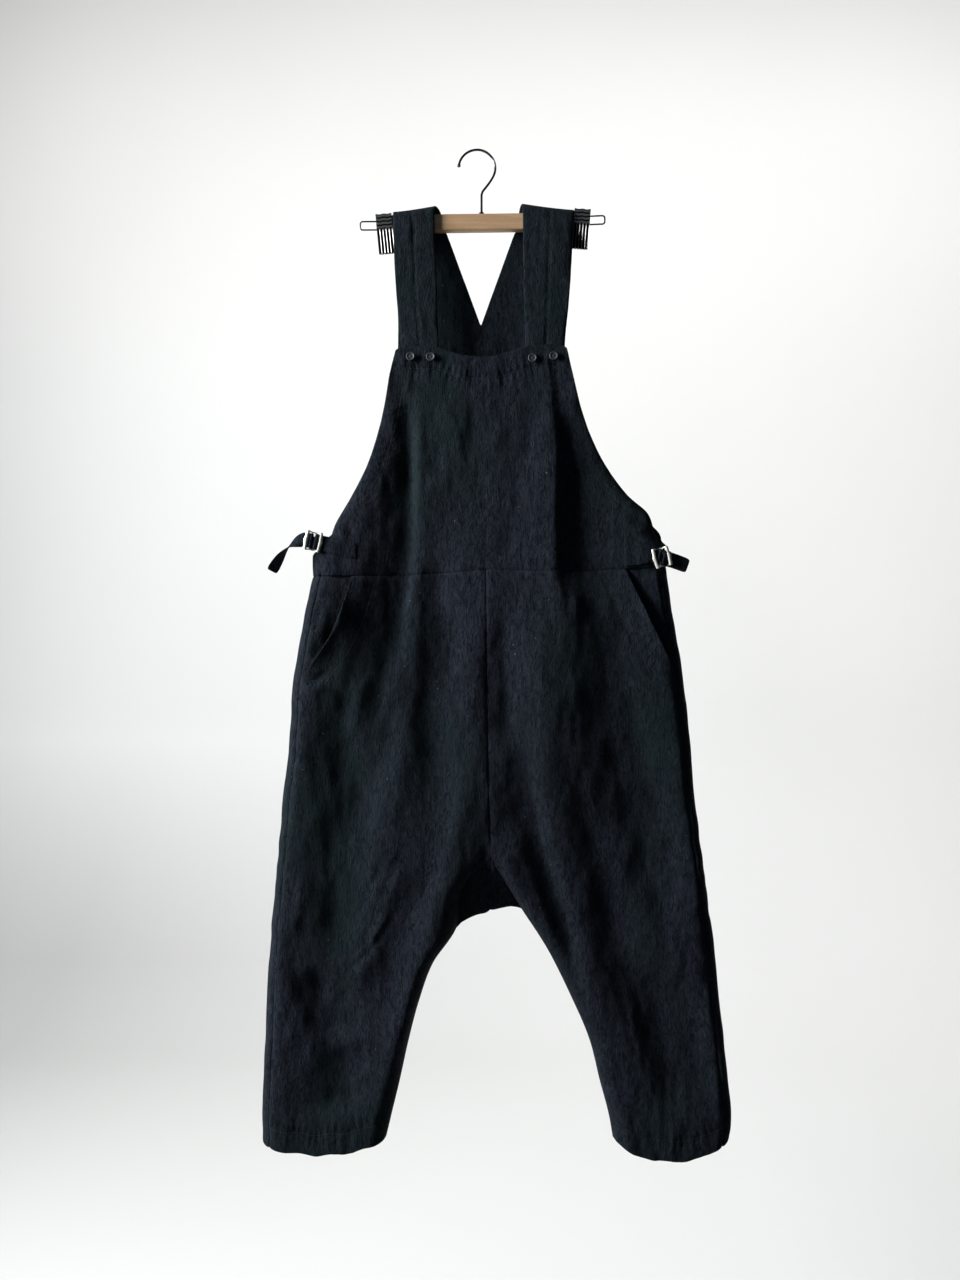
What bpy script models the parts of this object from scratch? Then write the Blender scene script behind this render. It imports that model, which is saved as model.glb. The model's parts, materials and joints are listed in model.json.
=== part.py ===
"""Black dungarees hanging by their straps over the wooden bar of a trouser-clip hanger.

Metres, +Z up. The front of the garment faces -Y and the wall that it hangs on is on its +Y side. The
origin is the top of the inside of the hanger's hook. Left and right are the viewer's, from the front.

The cloth is one form: rows run round each half of the garment, from the side seam over the front and
from the same seam round the back. That form is cut into the garment's panels, each panel is drawn back
a little from its seams, and is then given the thickness of the cloth on its inner side.
"""

import math
from collections import namedtuple

import bmesh
import bpy
import numpy as np
from mathutils import Vector

# ---------------------------------------------------------------- driving sizes
CLOTH = 0.0020  # wall of one layer of cloth with its turned edges
STRAP_CLOTH = 0.0030  # a strap is two layers
STRIP_CLOTH = 0.0016  # waist strips and tabs
SEAM_GAP = 0.0003
EDGE_ROUND = 0.060  # how far in from a side fold the cloth reaches its full depth
EDGE_POWER = 2.5
SIDE_SEAM_IN = 0.013  # the side seams lie this far inside the silhouette, on the front
BIB_TOP_CORNER_Z = -0.2700

# Each half of the garment below the waist. edge: silhouette. front: centre front, then the inseam.
# back: centre back, then the lower edge of the seat, which meets the inseam at the joint of the legs.
# open_x: the slanted pocket edge, until it meets the side seam. sag: how far the row hangs in its middle.
Station = namedtuple(
    "Station", "name edge_x edge_z open_x front_x front_z back_x back_z inner sag"
)
LEFT_HALF = [
    Station("waist", -0.2230, -0.571, -0.1680, 0.0080, -0.5625, 0.0080, -0.563, 0.0, 0.003),
    Station("hip 1", -0.2310, -0.609, -0.1794, 0.0083, -0.6030, 0.0080, -0.608, 0.0, 0.003),
    Station("hip 2", -0.2400, -0.656, -0.1990, 0.0088, -0.6520, 0.0085, -0.661, 0.0, 0.003),
    Station("pocket end", -0.2485, -0.708, -0.2355, 0.0092, -0.7040, 0.0090, -0.718, 0.0, 0.002),
    Station("thigh 1", -0.2525, -0.763, None, 0.0100, -0.7570, 0.0100, -0.778, 0.0, 0.0),
    Station("thigh 2", -0.2570, -0.816, None, 0.0110, -0.8080, 0.0110, -0.840, 0.0, 0.0),
    Station("thigh 3", -0.2627, -0.870, None, 0.0120, -0.8580, 0.0120, -0.905, 0.0, 0.0),
    Station("thigh 4", -0.2670, -0.920, None, 0.0135, -0.9050, 0.0130, -0.968, 0.0, 0.0),
    Station("crotch", -0.2705, -0.958, None, 0.0147, -0.9395, 0.0140, -1.018, 0.0, 0.0),
    Station("seat 1", -0.2730, -0.985, None, -0.0120, -0.9670, -0.0030, -1.0240, 0.35, 0.0),
    Station("seat 2", -0.2760, -1.012, None, -0.0250, -0.9950, -0.0190, -1.0310, 0.70, 0.0),
    Station("joint", -0.2785, -1.045, None, -0.0310, -1.0400, -0.0310, -1.0400, 1.0, 0.0),
    Station("knee 1", -0.2815, -1.090, None, -0.0620, -1.0860, -0.0620, -1.0860, 1.0, 0.0),
    Station("knee 2", -0.2845, -1.138, None, -0.0808, -1.1370, -0.0808, -1.1370, 1.0, 0.0),
    Station("calf 1", -0.2865, -1.191, None, -0.0948, -1.1900, -0.0948, -1.1900, 1.0, 0.002),
    Station("calf 2", -0.2885, -1.245, None, -0.1065, -1.2430, -0.1065, -1.2430, 1.0, 0.004),
    Station("hem band", -0.2905, -1.288, None, -0.1165, -1.2840, -0.1165, -1.2840, 1.0, 0.007),
    Station("hem", -0.2890, -1.321, None, -0.1245, -1.3180, -0.1245, -1.3180, 1.0, 0.012),
]
RIGHT_HALF = [
    Station("waist", 0.2480, -0.558, 0.1910, 0.0080, -0.5625, 0.0080, -0.563, 0.0, 0.004),
    Station("hip 1", 0.2547, -0.605, 0.2110, 0.0083, -0.6030, 0.0080, -0.608, 0.0, 0.003),
    Station("hip 2", 0.2620, -0.652, 0.2335, 0.0088, -0.6520, 0.0085, -0.661, 0.0, 0.003),
    Station("pocket end", 0.2700, -0.697, 0.2570, 0.0092, -0.7040, 0.0090, -0.718, 0.0, 0.002),
    Station("thigh 1", 0.2760, -0.752, None, 0.0100, -0.7570, 0.0100, -0.778, 0.0, 0.0),
    Station("thigh 2", 0.2810, -0.808, None, 0.0110, -0.8080, 0.0110, -0.840, 0.0, 0.0),
    Station("thigh 3", 0.2870, -0.868, None, 0.0120, -0.8580, 0.0120, -0.905, 0.0, 0.0),
    Station("thigh 4", 0.2930, -0.920, None, 0.0135, -0.9050, 0.0130, -0.968, 0.0, 0.0),
    Station("crotch", 0.2985, -0.960, None, 0.0147, -0.9395, 0.0140, -1.018, 0.0, 0.0),
    Station("seat 1", 0.3010, -0.982, None, 0.0280, -0.9670, 0.0270, -1.0150, 0.35, 0.0),
    Station("seat 2", 0.3035, -1.003, None, 0.0420, -0.9920, 0.0410, -1.0120, 0.70, 0.0),
    Station("joint", 0.3065, -1.026, None, 0.0543, -1.0135, 0.0543, -1.0135, 1.0, 0.0),
    Station("knee 1", 0.3136, -1.072, None, 0.0895, -1.0680, 0.0895, -1.0680, 1.0, 0.0),
    Station("knee 2", 0.3185, -1.130, None, 0.1210, -1.1310, 0.1210, -1.1310, 1.0, 0.0),
    Station("calf 1", 0.3250, -1.186, None, 0.1450, -1.1870, 0.1450, -1.1870, 1.0, 0.003),
    Station("calf 2", 0.3310, -1.240, None, 0.1590, -1.2420, 0.1590, -1.2420, 1.0, 0.006),
    Station("hem band", 0.3350, -1.284, None, 0.1705, -1.2850, 0.1705, -1.2850, 1.0, 0.012),
    Station("hem", 0.3325, -1.318, None, 0.1770, -1.3200, 0.1770, -1.3200, 1.0, 0.022),
]

# How deep the form is at each height. tip: the side folds. armhole: how much the free edges drop back.
Depth = namedtuple("Depth", "z tip front back drop")
DEPTHS = [
    Depth(-1.345, -0.004, -0.027, 0.014, 1.0),
    Depth(-1.100, -0.004, -0.029, 0.016, 1.0),
    Depth(-0.940, -0.004, -0.031, 0.018, 1.0),
    Depth(-0.750, -0.004, -0.032, 0.018, 1.0),
    Depth(-0.571, -0.003, -0.028, 0.015, 1.0),
    Depth(-0.541, -0.003, -0.026, 0.014, 0.90),
    Depth(-0.520, -0.002, -0.0245, 0.013, 0.50),
    Depth(-0.463, -0.002, -0.022, 0.012, 0.40),
    Depth(-0.348, -0.002, -0.018, 0.012, 0.15),
    Depth(-0.300, -0.002, -0.0160, 0.012, 0.0),
    Depth(-0.260, -0.002, -0.0152, 0.011, 0.0),
    Depth(-0.100, -0.002, -0.0150, 0.011, 0.0),
]

# The bib from its waist seam up. follow: how much of the curve of the top edge a row takes.
BibRow = namedtuple("BibRow", "name left_x left_z right_x right_z follow")
BIB_ROWS = [
    BibRow("side seam", -0.2105, -0.556, 0.2360, -0.545, 0.0),
    BibRow("armhole foot", -0.2100, -0.541, 0.2380, -0.532, 0.0),
    BibRow("armhole 1", -0.1990, -0.520, 0.2310, -0.511, 0.0),
    BibRow("armhole 2", -0.1900, -0.498, 0.2220, -0.487, 0.0),
    BibRow("armhole 3", -0.1696, -0.463, 0.1945, -0.462, 0.0),
    BibRow("armhole 4", -0.1500, -0.424, 0.1670, -0.424, 0.0),
    BibRow("armhole 5", -0.1370, -0.386, 0.1475, -0.386, 0.10),
    BibRow("armhole 6", -0.1275, -0.348, 0.1340, -0.348, 0.25),
    BibRow("armhole 7", -0.1205, -0.309, 0.1240, -0.309, 0.50),
    BibRow("band", -0.1155, -0.285, 0.1180, -0.283, 0.80),
    BibRow("top", -0.1120, -0.270, 0.1145, -0.2680, 1.0),
]
BibTop = namedtuple("BibTop", "x z")
BIB_TOP = [
    BibTop(-0.1130, -0.2720),
    BibTop(-0.1040, -0.2665),
    BibTop(-0.0550, -0.2675),
    BibTop(-0.0390, -0.2735),
    BibTop(-0.0210, -0.2782),
    BibTop(-0.0020, -0.2804),
    BibTop(0.0160, -0.2799),
    BibTop(0.0344, -0.2753),
    BibTop(0.0560, -0.2680),
    BibTop(0.0800, -0.2648),
    BibTop(0.1060, -0.2620),
    BibTop(0.1150, -0.2690),
]

# The back above its waist seam. wrap: how much of the row still folds round to the side seam.
BackRow = namedtuple("BackRow", "name left_x left_z right_x right_z wrap")
BACK_ROWS = [
    BackRow("side seam", -0.2235, -0.556, 0.2490, -0.545, 1.0),
    BackRow("armhole foot", -0.2230, -0.541, 0.2505, -0.532, 1.0),
    BackRow("armhole 1", -0.2120, -0.524, 0.2440, -0.514, 0.15),
    BackRow("armhole 2", -0.1900, -0.503, 0.2220, -0.492, 0.0),
    BackRow("armhole 3", -0.1660, -0.463, 0.1910, -0.463, 0.0),
    BackRow("armhole 4", -0.1450, -0.424, 0.1620, -0.424, 0.0),
    BackRow("armhole 5", -0.1320, -0.386, 0.1430, -0.386, 0.0),
    BackRow("armhole 6", -0.1230, -0.348, 0.1300, -0.348, 0.0),
    BackRow("armhole 7", -0.1160, -0.309, 0.1200, -0.309, 0.0),
    BackRow("armhole 8", -0.1110, -0.272, 0.1150, -0.272, 0.0),
    BackRow("V", -0.1100, -0.232, 0.1140, -0.232, 0.0),
]
V_POINT = (0.0012, -0.2325)
V_ROWS = [-0.192, -0.150, -0.1050]
V_TOP_LEFT_X = -0.0460
V_TOP_RIGHT_X = 0.0475
BACK_TOP_LEFT_X = -0.1140
BACK_TOP_RIGHT_X = 0.1230

# Folds of the front and of the back: a curve on the cloth, how wide it is, and how far it stands out.
Fold = namedtuple("Fold", "name x0 z0 x1 z1 x2 z2 width height")
FRONT_FOLDS = [
    Fold("ridge below left button", -0.094, -0.310, -0.096, -0.600, -0.150, -0.760, 0.013, 0.0080),
    Fold("valley beside it", -0.117, -0.390, -0.118, -0.560, -0.152, -0.730, 0.020, -0.0090),
    Fold("valley under right strap", 0.098, -0.310, 0.116, -0.470, 0.136, -0.640, 0.013, -0.0080),
    Fold("valley down right hip", 0.132, -0.600, 0.148, -0.800, 0.172, -1.000, 0.021, -0.0100),
    Fold("valley down right leg", 0.165, -0.960, 0.185, -1.080, 0.228, -1.240, 0.019, -0.0080),
    Fold("ridge on right hip", 0.172, -0.600, 0.196, -0.800, 0.212, -1.000, 0.022, 0.0055),
    Fold("valley left of centre", -0.060, -0.590, -0.068, -0.660, -0.062, -0.760, 0.014, -0.0050),
    Fold("valley on left thigh", -0.193, -0.770, -0.176, -0.900, -0.204, -1.060, 0.026, -0.0095),
    Fold("ridge beside it", -0.126, -0.720, -0.122, -0.800, -0.108, -0.900, 0.021, 0.0060),
    Fold("crease from crotch", -0.070, -0.905, -0.140, -1.000, -0.208, -1.165, 0.010, -0.0060),
    Fold("ridge down left leg", -0.045, -0.900, -0.105, -1.070, -0.178, -1.280, 0.020, 0.0075),
    Fold("valley by right inseam", 0.055, -0.870, 0.082, -0.980, 0.118, -1.090, 0.013, -0.0085),
    Fold("ridge by right inseam", 0.072, -0.830, 0.108, -0.975, 0.156, -1.140, 0.018, 0.0070),
    Fold("valley at left calf", -0.232, -1.090, -0.238, -1.190, -0.242, -1.290, 0.015, -0.0050),
    Fold("valley at right calf", 0.262, -1.050, 0.270, -1.160, 0.284, -1.290, 0.016, -0.0055),
]
BACK_FOLDS = [
    Fold("left ridge", -0.096, -0.320, -0.104, -0.600, -0.142, -0.800, 0.020, 0.0060),
    Fold("right valley", 0.090, -0.330, 0.100, -0.620, 0.150, -0.860, 0.021, -0.0060),
    Fold("left hip valley", -0.168, -0.690, -0.180, -0.900, -0.192, -1.150, 0.023, -0.0065),
    Fold("right hip ridge", 0.198, -0.690, 0.216, -0.900, 0.232, -1.200, 0.023, 0.0055),
    Fold("seat valley", 0.060, -0.840, 0.104, -1.000, 0.156, -1.200, 0.019, -0.0060),
    Fold("seat ridge", -0.058, -0.860, -0.112, -1.000, -0.156, -1.250, 0.020, 0.0060),
    Fold("centre valley", 0.002, -0.270, 0.004, -0.400, 0.000, -0.540, 0.026, -0.0035),
]
POCKET_GAPE = {"left": 0.0050, "right": 0.0035}
GAPE_REACH = 0.022

# Straps. Outer and inner are the strap's two long edges, over the bar from back to front.
StrapRow = namedtuple(
    "StrapRow", "name y z_outer z_inner left_outer left_inner right_outer right_inner"
)
STRAP_ROWS = [
    StrapRow("back seam", 0.0110, -0.1047, -0.1047, -0.1140, -0.0460, 0.1230, 0.0475),
    StrapRow("behind bar", 0.0110, -0.0950, -0.0930, -0.1145, -0.0495, 0.1235, 0.0500),
    StrapRow("rise", 0.0106, -0.0895, -0.0840, -0.1148, -0.0520, 0.1240, 0.0520),
    StrapRow("shoulder", 0.0080, -0.0853, -0.0778, -0.1150, -0.0540, 0.1245, 0.0535),
    StrapRow("crest back", 0.0040, -0.0838, -0.0752, -0.1152, -0.0560, 0.1250, 0.0545),
    StrapRow("crest", 0.0000, -0.0835, -0.0745, -0.1154, -0.0580, 0.1255, 0.0555),
    StrapRow("crest front", -0.0045, -0.0838, -0.0753, -0.1156, -0.0592, 0.1258, 0.0562),
    StrapRow("fall", -0.0085, -0.0853, -0.0782, -0.1157, -0.0600, 0.1258, 0.0568),
    StrapRow("before bar", -0.0108, -0.0895, -0.0850, -0.1157, -0.0608, 0.1256, 0.0570),
    StrapRow("front 1", -0.0112, -0.1000, -0.1000, -0.1155, -0.0608, 0.1250, 0.0572),
    StrapRow("front 2", -0.0112, -0.1300, -0.1300, -0.1147, -0.0598, 0.1232, 0.0576),
    StrapRow("front 3", -0.0114, -0.1700, -0.1700, -0.1130, -0.0582, 0.1208, 0.0582),
    StrapRow("front 4", -0.0116, -0.2150, -0.2150, -0.1095, -0.0566, 0.1172, 0.0590),
    StrapRow("bib top", -0.0122, -0.2600, -0.2600, -0.1050, -0.0552, 0.1130, 0.0598),
    StrapRow("end", -0.0126, -0.3000, -0.3000, -0.1035, -0.0550, 0.1115, 0.0600),
]
RIGHT_CREST_LIFT = 0.0030
STRAP_COLUMNS = 4

# Buttons on the bib's top band.
BUTTON_RADIUS = 0.0057
BUTTON_PLACES = [(-0.0920, -0.2801), (-0.0654, -0.2807), (0.0694, -0.2823), (0.0974, -0.2796)]
BUTTON_STEPS = 16

# Waist adjusters: a tab sewn to the bib holds a slide buckle, and a strip from the back runs through it.
Adjuster = namedtuple("Adjuster", "x z y lean tab_x tab_z tab_height")
ADJUSTERS = {
    "left": Adjuster(-0.2190, -0.5257, -0.0255, 12.0, -0.1630, -0.5385, 0.024),
    "right": Adjuster(0.2396, -0.5462, -0.0290, 9.0, 0.1900, -0.5395, 0.040),
}
BAR_REACH = 0.0108  # middle of the buckle to the middle of its side bars
BAR_HALF = 0.0012
BUCKLE_HALF_HEIGHT = 0.0135
BUCKLE_RAIL = 0.0024
BUCKLE_THICKNESS = 0.0014
TURN_RADIUS = 0.0031  # outer face of a strip that turns round a bar
STRIP_WIDTH = 0.0175
TAB_END_WIDTH = 0.0195
TAB_COLUMNS = 3
TurnStep = namedtuple("TurnStep", "x y z roll")
LEFT_TAIL = [
    TurnStep(-0.2400, -0.0265, -0.5240, 14.0),
    TurnStep(-0.2475, -0.0250, -0.5278, 42.0),
    TurnStep(-0.2545, -0.0235, -0.5335, 72.0),
    TurnStep(-0.2610, -0.0222, -0.5410, 96.0),
    TurnStep(-0.2680, -0.0210, -0.5495, 116.0),
    TurnStep(-0.2765, -0.0200, -0.5620, 130.0),
]
RIGHT_TAIL = [
    TurnStep(0.2570, -0.0300, -0.5516, 3.0),
    TurnStep(0.2650, -0.0284, -0.5545, 5.0),
    TurnStep(0.2731, -0.0262, -0.5580, 7.0),
]

# Hanger.
BAR_LENGTH = 0.242
BAR_HEIGHT = 0.0220
BAR_DEPTH = 0.0120
BAR_EDGE = 0.0018
BAR_MIDDLE_X = 0.003
BAR_TOP_Z = -0.0860
BAR_SLOPE = 0.012
HOOK_WIRE = 0.0030
HOOK_INSIDE = 0.0230
HOOK_MIDDLE_X = -0.0040
HOOK_TIP_ANGLE = 172.0
HOOK_END_ANGLE = -32.0
SHANK_X = 0.0021
RAIL_WIRE = 0.0020
Rail = namedtuple("Rail", "end_x root_upper_z root_lower_z end_upper_z end_lower_z")
RAILS = {
    "left": Rail(-0.1614, -0.0946, -0.1058, -0.0948, -0.1060),
    "right": Rail(0.1683, -0.0885, -0.0997, -0.0868, -0.0980),
}
CLIP_WIDTH = 0.0170
CLIP_HEIGHT = 0.0520
Clip = namedtuple("Clip", "x lean")
CLIPS = {"left": Clip(-0.1300, -5.0), "right": Clip(0.1372, 4.0)}

FRONT_FRACTIONS = [0.0, 0.085, 0.17, 0.255, 0.34, 0.425, 0.51, 0.595, 0.68, 0.765, 0.85, 0.93, 0.98, 1.0]
BACK_FRACTIONS = [0.0, 0.11, 0.22, 0.33, 0.44, 0.55, 0.66, 0.77, 0.88, 0.96, 1.0]
HIP_FRACTIONS = [0.0, 0.34, 0.67, 1.0]
WRAP_REACHES = [(SIDE_SEAM_IN, -1), (0.0060, -1), (0.0016, -1), (0.0, 0), (0.0016, 1), (0.0060, 1)]
SEAT_FRACTIONS = [0.34, 0.67, 1.0]


# ---------------------------------------------------------------- reading the tables
def smooth(keys, values, at):
    """A smooth curve through the values, without overshoot at the ends."""
    keys = np.asarray(keys, float)
    values = np.asarray(values, float)
    i = int(np.clip(np.searchsorted(keys, at) - 1, 0, len(keys) - 2))
    step = keys[i + 1] - keys[i]
    t = float(np.clip((at - keys[i]) / step, 0.0, 1.0))
    slopes = np.gradient(values, keys)
    rise = (values[i + 1] - values[i]) / step
    first, last = [limited(slope, rise) for slope in (slopes[i], slopes[i + 1])]
    return (
        (2 * t**3 - 3 * t**2 + 1) * values[i]
        + (t**3 - 2 * t**2 + t) * step * first
        + (3 * t**2 - 2 * t**3) * values[i + 1]
        + (t**3 - t**2) * step * last
    )


def limited(slope, rise):
    """A slope that can't carry a curve past its neighbours."""
    if slope * rise <= 0:
        return 0.0
    return math.copysign(min(abs(slope), 3 * abs(rise)), rise)


def column(rows, name):
    return [getattr(row, name) for row in rows]


def depth(name, z):
    return smooth(column(DEPTHS, "z"), column(DEPTHS, name), z)


def bib_top_z(x):
    return smooth(column(BIB_TOP, "x"), column(BIB_TOP, "z"), x)


def between(a, b, t):
    return a + (b - a) * t


# ---------------------------------------------------------------- the form of the cloth
def rounding(reach):
    """0 at a side fold, 1 where the cloth has its full depth."""
    inside = 1.0 - min(max(reach, 0.0), EDGE_ROUND) / EDGE_ROUND
    return math.sqrt(1.0 - inside**EDGE_POWER)


def fold_curve(fold, steps=24):
    t = np.linspace(0.0, 1.0, steps)[:, None]
    start, bend, end = np.array([fold[1:3], fold[3:5], fold[5:7]])
    return (1 - t) ** 2 * start + 2 * t * (1 - t) * bend + t**2 * end


def fold_height(folds, curves, x, z):
    """How far the folds push the cloth out at one place."""
    total = 0.0
    for fold, curve in zip(folds, curves):
        away = np.hypot(curve[:, 0] - x, curve[:, 1] - z)
        nearest = int(away.argmin())
        taper = math.sin(math.pi * (nearest + 0.5) / len(curve)) ** 0.6
        total += fold.height * taper * math.exp(-((away[nearest] / fold.width) ** 2))
    return total


FRONT_CURVES = [fold_curve(fold) for fold in FRONT_FOLDS]
BACK_CURVES = [fold_curve(fold) for fold in BACK_FOLDS]


def front_y(x, z, outer_reach, inner_reach=EDGE_ROUND, inner=0.0):
    """The front of the cloth at a place that far from its outer and its inner edge."""
    tip = depth("tip", z)
    fullness = 1.0 - depth("drop", z) * (1.0 - rounding(outer_reach))
    fullness *= 1.0 - inner * (1.0 - rounding(inner_reach))
    folds = fold_height(FRONT_FOLDS, FRONT_CURVES, x, z)
    return between(tip, depth("front", z), fullness) - fullness * folds


def back_y(x, z, outer_reach, inner_reach=EDGE_ROUND, inner=0.0):
    tip = depth("tip", z)
    fullness = 1.0 - depth("drop", z) * (1.0 - rounding(outer_reach))
    fullness *= 1.0 - inner * (1.0 - rounding(inner_reach))
    folds = fold_height(BACK_FOLDS, BACK_CURVES, x, z)
    return between(tip, depth("back", z), fullness) + fullness * folds


def seat_inner(station_at):
    """How far the centre back has turned under, by the place in the table: it starts above the crotch."""
    return smooth([0, 5.5, 7, 8, 20], [0.0, 0.0, 0.30, 1.0, 1.0], station_at)


class Half:
    """One half of the garment below the waist, read at any place between its stations."""

    def __init__(self, side, stations):
        self.side = side
        self.sign = -1.0 if side == "left" else 1.0
        self.stations = stations
        self.last = len(stations) - 1
        self.names = column(stations, "name")

    def place(self, name):
        return self.names.index(name)

    def at(self, name, where):
        if name == "open_x":
            pocket = [s for s in self.stations if s.open_x is not None]
            if where >= len(pocket) - 1:
                return self.at("edge_x", where) - self.sign * SIDE_SEAM_IN
            return smooth(range(len(pocket)), column(pocket, "open_x"), where)
        return smooth(range(self.last + 1), column(self.stations, name), where)

    def row_places(self):
        """Each station, with one place more between those that are far apart."""
        places = []
        for i in range(self.last):
            places.append(float(i))
            far = abs(self.stations[i + 1].edge_z - self.stations[i].edge_z) > 0.050
            if far or 3 <= i < 5:
                places.append(i + 0.5)
        return places + [float(self.last)]

    def point(self, face, where, x, reach):
        """A point of the front or the back in the row at that place."""
        inner_x, inner_z = (self.at(f"{face}_x", where), self.at(f"{face}_z", where))
        edge_x, edge_z = self.at("edge_x", where), self.at("edge_z", where)
        across = (x - edge_x) / (inner_x - edge_x)
        z = between(edge_z, inner_z, across) - self.at("sag", where) * math.sin(math.pi * across)
        inner = self.at("inner", where) if face == "front" else seat_inner(where)
        surface = front_y if face == "front" else back_y
        return Vector((x, surface(x, z, reach, abs(inner_x - x), inner), z))

    def front_row(self, where):
        start, end = self.at("open_x", where), self.at("front_x", where)
        edge = self.at("edge_x", where)
        xs = [between(start, end, f) for f in FRONT_FRACTIONS]
        return [self.point("front", where, x, abs(x - edge)) for x in xs]

    def hip_row(self, where):
        edge = self.at("edge_x", where)
        start, end = edge - self.sign * SIDE_SEAM_IN, self.at("open_x", where)
        xs = [between(start, end, f) for f in HIP_FRACTIONS]
        return [self.point("front", where, x, abs(x - edge)) for x in xs]

    def back_row(self, where):
        edge, end = self.at("edge_x", where), self.at("back_x", where)
        row = []
        for reach, face in WRAP_REACHES:
            x = edge - self.sign * reach
            if face < 0:
                row.append(self.point("front", where, x, reach))
            else:
                row.append(self.point("back", where, x, reach))
        start = edge - self.sign * SIDE_SEAM_IN
        xs = [between(start, end, f) for f in BACK_FRACTIONS]
        return row + [self.point("back", where, x, abs(x - edge)) for x in xs]

    def seat_row(self, where):
        """From the lower edge of the seat up to the inseam, on the front."""
        low = self.back_row(where)[-1]
        high = self.front_row(where)[-1]
        row = [low]
        for f in SEAT_FRACTIONS:
            point = low.lerp(high, f)
            point.y = between(low.y, high.y, f**0.75)
            row.append(point)
        return row


HALVES = {"left": Half("left", LEFT_HALF), "right": Half("right", RIGHT_HALF)}


def waist_fractions(row):
    xs = [point.x for point in row]
    return [(x - xs[0]) / (xs[-1] - xs[0]) for x in xs]


def arc_fractions(row):
    lengths = [0.0]
    for a, b in zip(row, row[1:]):
        lengths.append(lengths[-1] + (b - a).length)
    return [length / lengths[-1] for length in lengths]


def bib_rows():
    """From the waist seam up to the top edge, from the left side to the right."""
    left, right = HALVES["left"], HALVES["right"]
    waist = left.hip_row(0)[:-1] + left.front_row(0)
    waist += (right.hip_row(0)[:-1] + right.front_row(0))[-2::-1]
    fractions = waist_fractions(waist)
    rows = [waist]
    for bib in BIB_ROWS:
        row = []
        for f in fractions:
            x = between(bib.left_x, bib.right_x, f)
            straight = between(bib.left_z, bib.right_z, f)
            z = straight + bib.follow * (bib_top_z(x) - BIB_TOP_CORNER_Z)
            reach = min(x - bib.left_x, bib.right_x - x)
            if depth("drop", z) > 0.85:
                reach += SIDE_SEAM_IN
            row.append(Vector((x, front_y(x, z, reach), z)))
        rows.append(row)
    rows[-1] = [Vector((p.x, p.y, bib_top_z(p.x))) for p in rows[-1]]
    seams = {side: [row[0] for row in back_bib_rows(side)] for side in HALVES}
    for r in range(1, 3):  # the two rows that the side seams join to the back
        rows[r][0] = seams["left"][r]
        rows[r][-1] = seams["right"][r]
    return rows


def back_half_row(side, edge_x, edge_z, wrap, centre_x, centre_z):
    """A row of the back above the waist, from the side seam or the armhole to the centre."""
    sign = -1.0 if side == "left" else 1.0
    waist = HALVES[side].back_row(0)
    row = []
    for i, f in enumerate(arc_fractions(waist)):
        x, z = between(edge_x, centre_x, f), between(edge_z, centre_z, f)
        flat = Vector((x, back_y(x, z, abs(x - edge_x)), z))
        reach = abs(waist[i].x - waist_edge(side))
        x = edge_x - sign * reach
        z = between(edge_z, centre_z, (x - edge_x) / (centre_x - edge_x))
        on_front = i < len(WRAP_REACHES) and WRAP_REACHES[i][1] < 0
        surface = front_y if on_front else back_y
        folded = Vector((x, surface(x, z, reach), z))
        row.append(flat.lerp(folded, wrap))
    row[-1] = Vector((centre_x, back_y(centre_x, centre_z, EDGE_ROUND), centre_z))
    return row


def waist_edge(side):
    return HALVES[side].at("edge_x", 0)


def back_bib_rows(side):
    """From the waist seam up to the V and on to the shoulder, one half."""
    half = HALVES[side]
    centre = half.back_row(0)[-1]
    rows = [half.back_row(0)]
    for row in BACK_ROWS:
        edge_x = row.left_x if side == "left" else row.right_x
        edge_z = row.left_z if side == "left" else row.right_z
        centre_x, centre_z = centre.x, 0.5 * (row.left_z + row.right_z)
        if row.name == "V":
            centre_x, centre_z = V_POINT
        rows.append(back_half_row(side, edge_x, edge_z, row.wrap, centre_x, centre_z))
    top_outer = BACK_TOP_LEFT_X if side == "left" else BACK_TOP_RIGHT_X
    top_inner = V_TOP_LEFT_X if side == "left" else V_TOP_RIGHT_X
    start_outer = BACK_ROWS[-1].left_x if side == "left" else BACK_ROWS[-1].right_x
    for z in V_ROWS:
        t = (z - V_POINT[1]) / (V_ROWS[-1] - V_POINT[1])
        outer = between(start_outer, top_outer, t)
        inner = between(V_POINT[0], top_inner, t)
        rows.append(back_half_row(side, outer, z, 0.0, inner, z))
    return rows


# ---------------------------------------------------------------- cutting the panels
def add_grid(bm, layer, rows, name_of, flip):
    """Faces between rows of points; name_of gives the panel of each face from its row and column."""
    grid = [[bm.verts.new(point) for point in row] for row in rows]
    for r in range(len(grid) - 1):
        for c in range(min(len(grid[r]), len(grid[r + 1])) - 1):
            corners = [grid[r][c], grid[r][c + 1], grid[r + 1][c + 1], grid[r + 1][c]]
            face = bm.faces.new(corners[::-1] if flip else corners)
            face[layer] = name_of(r, c)


PANELS = [
    "front_bib",
    "back_bib",
    "front_leg_left",
    "front_leg_right",
    "back_leg_left",
    "back_leg_right",
    "hip_left",
    "hip_right",
    "front_leg_left_margin",
    "front_leg_right_margin",
]


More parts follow.
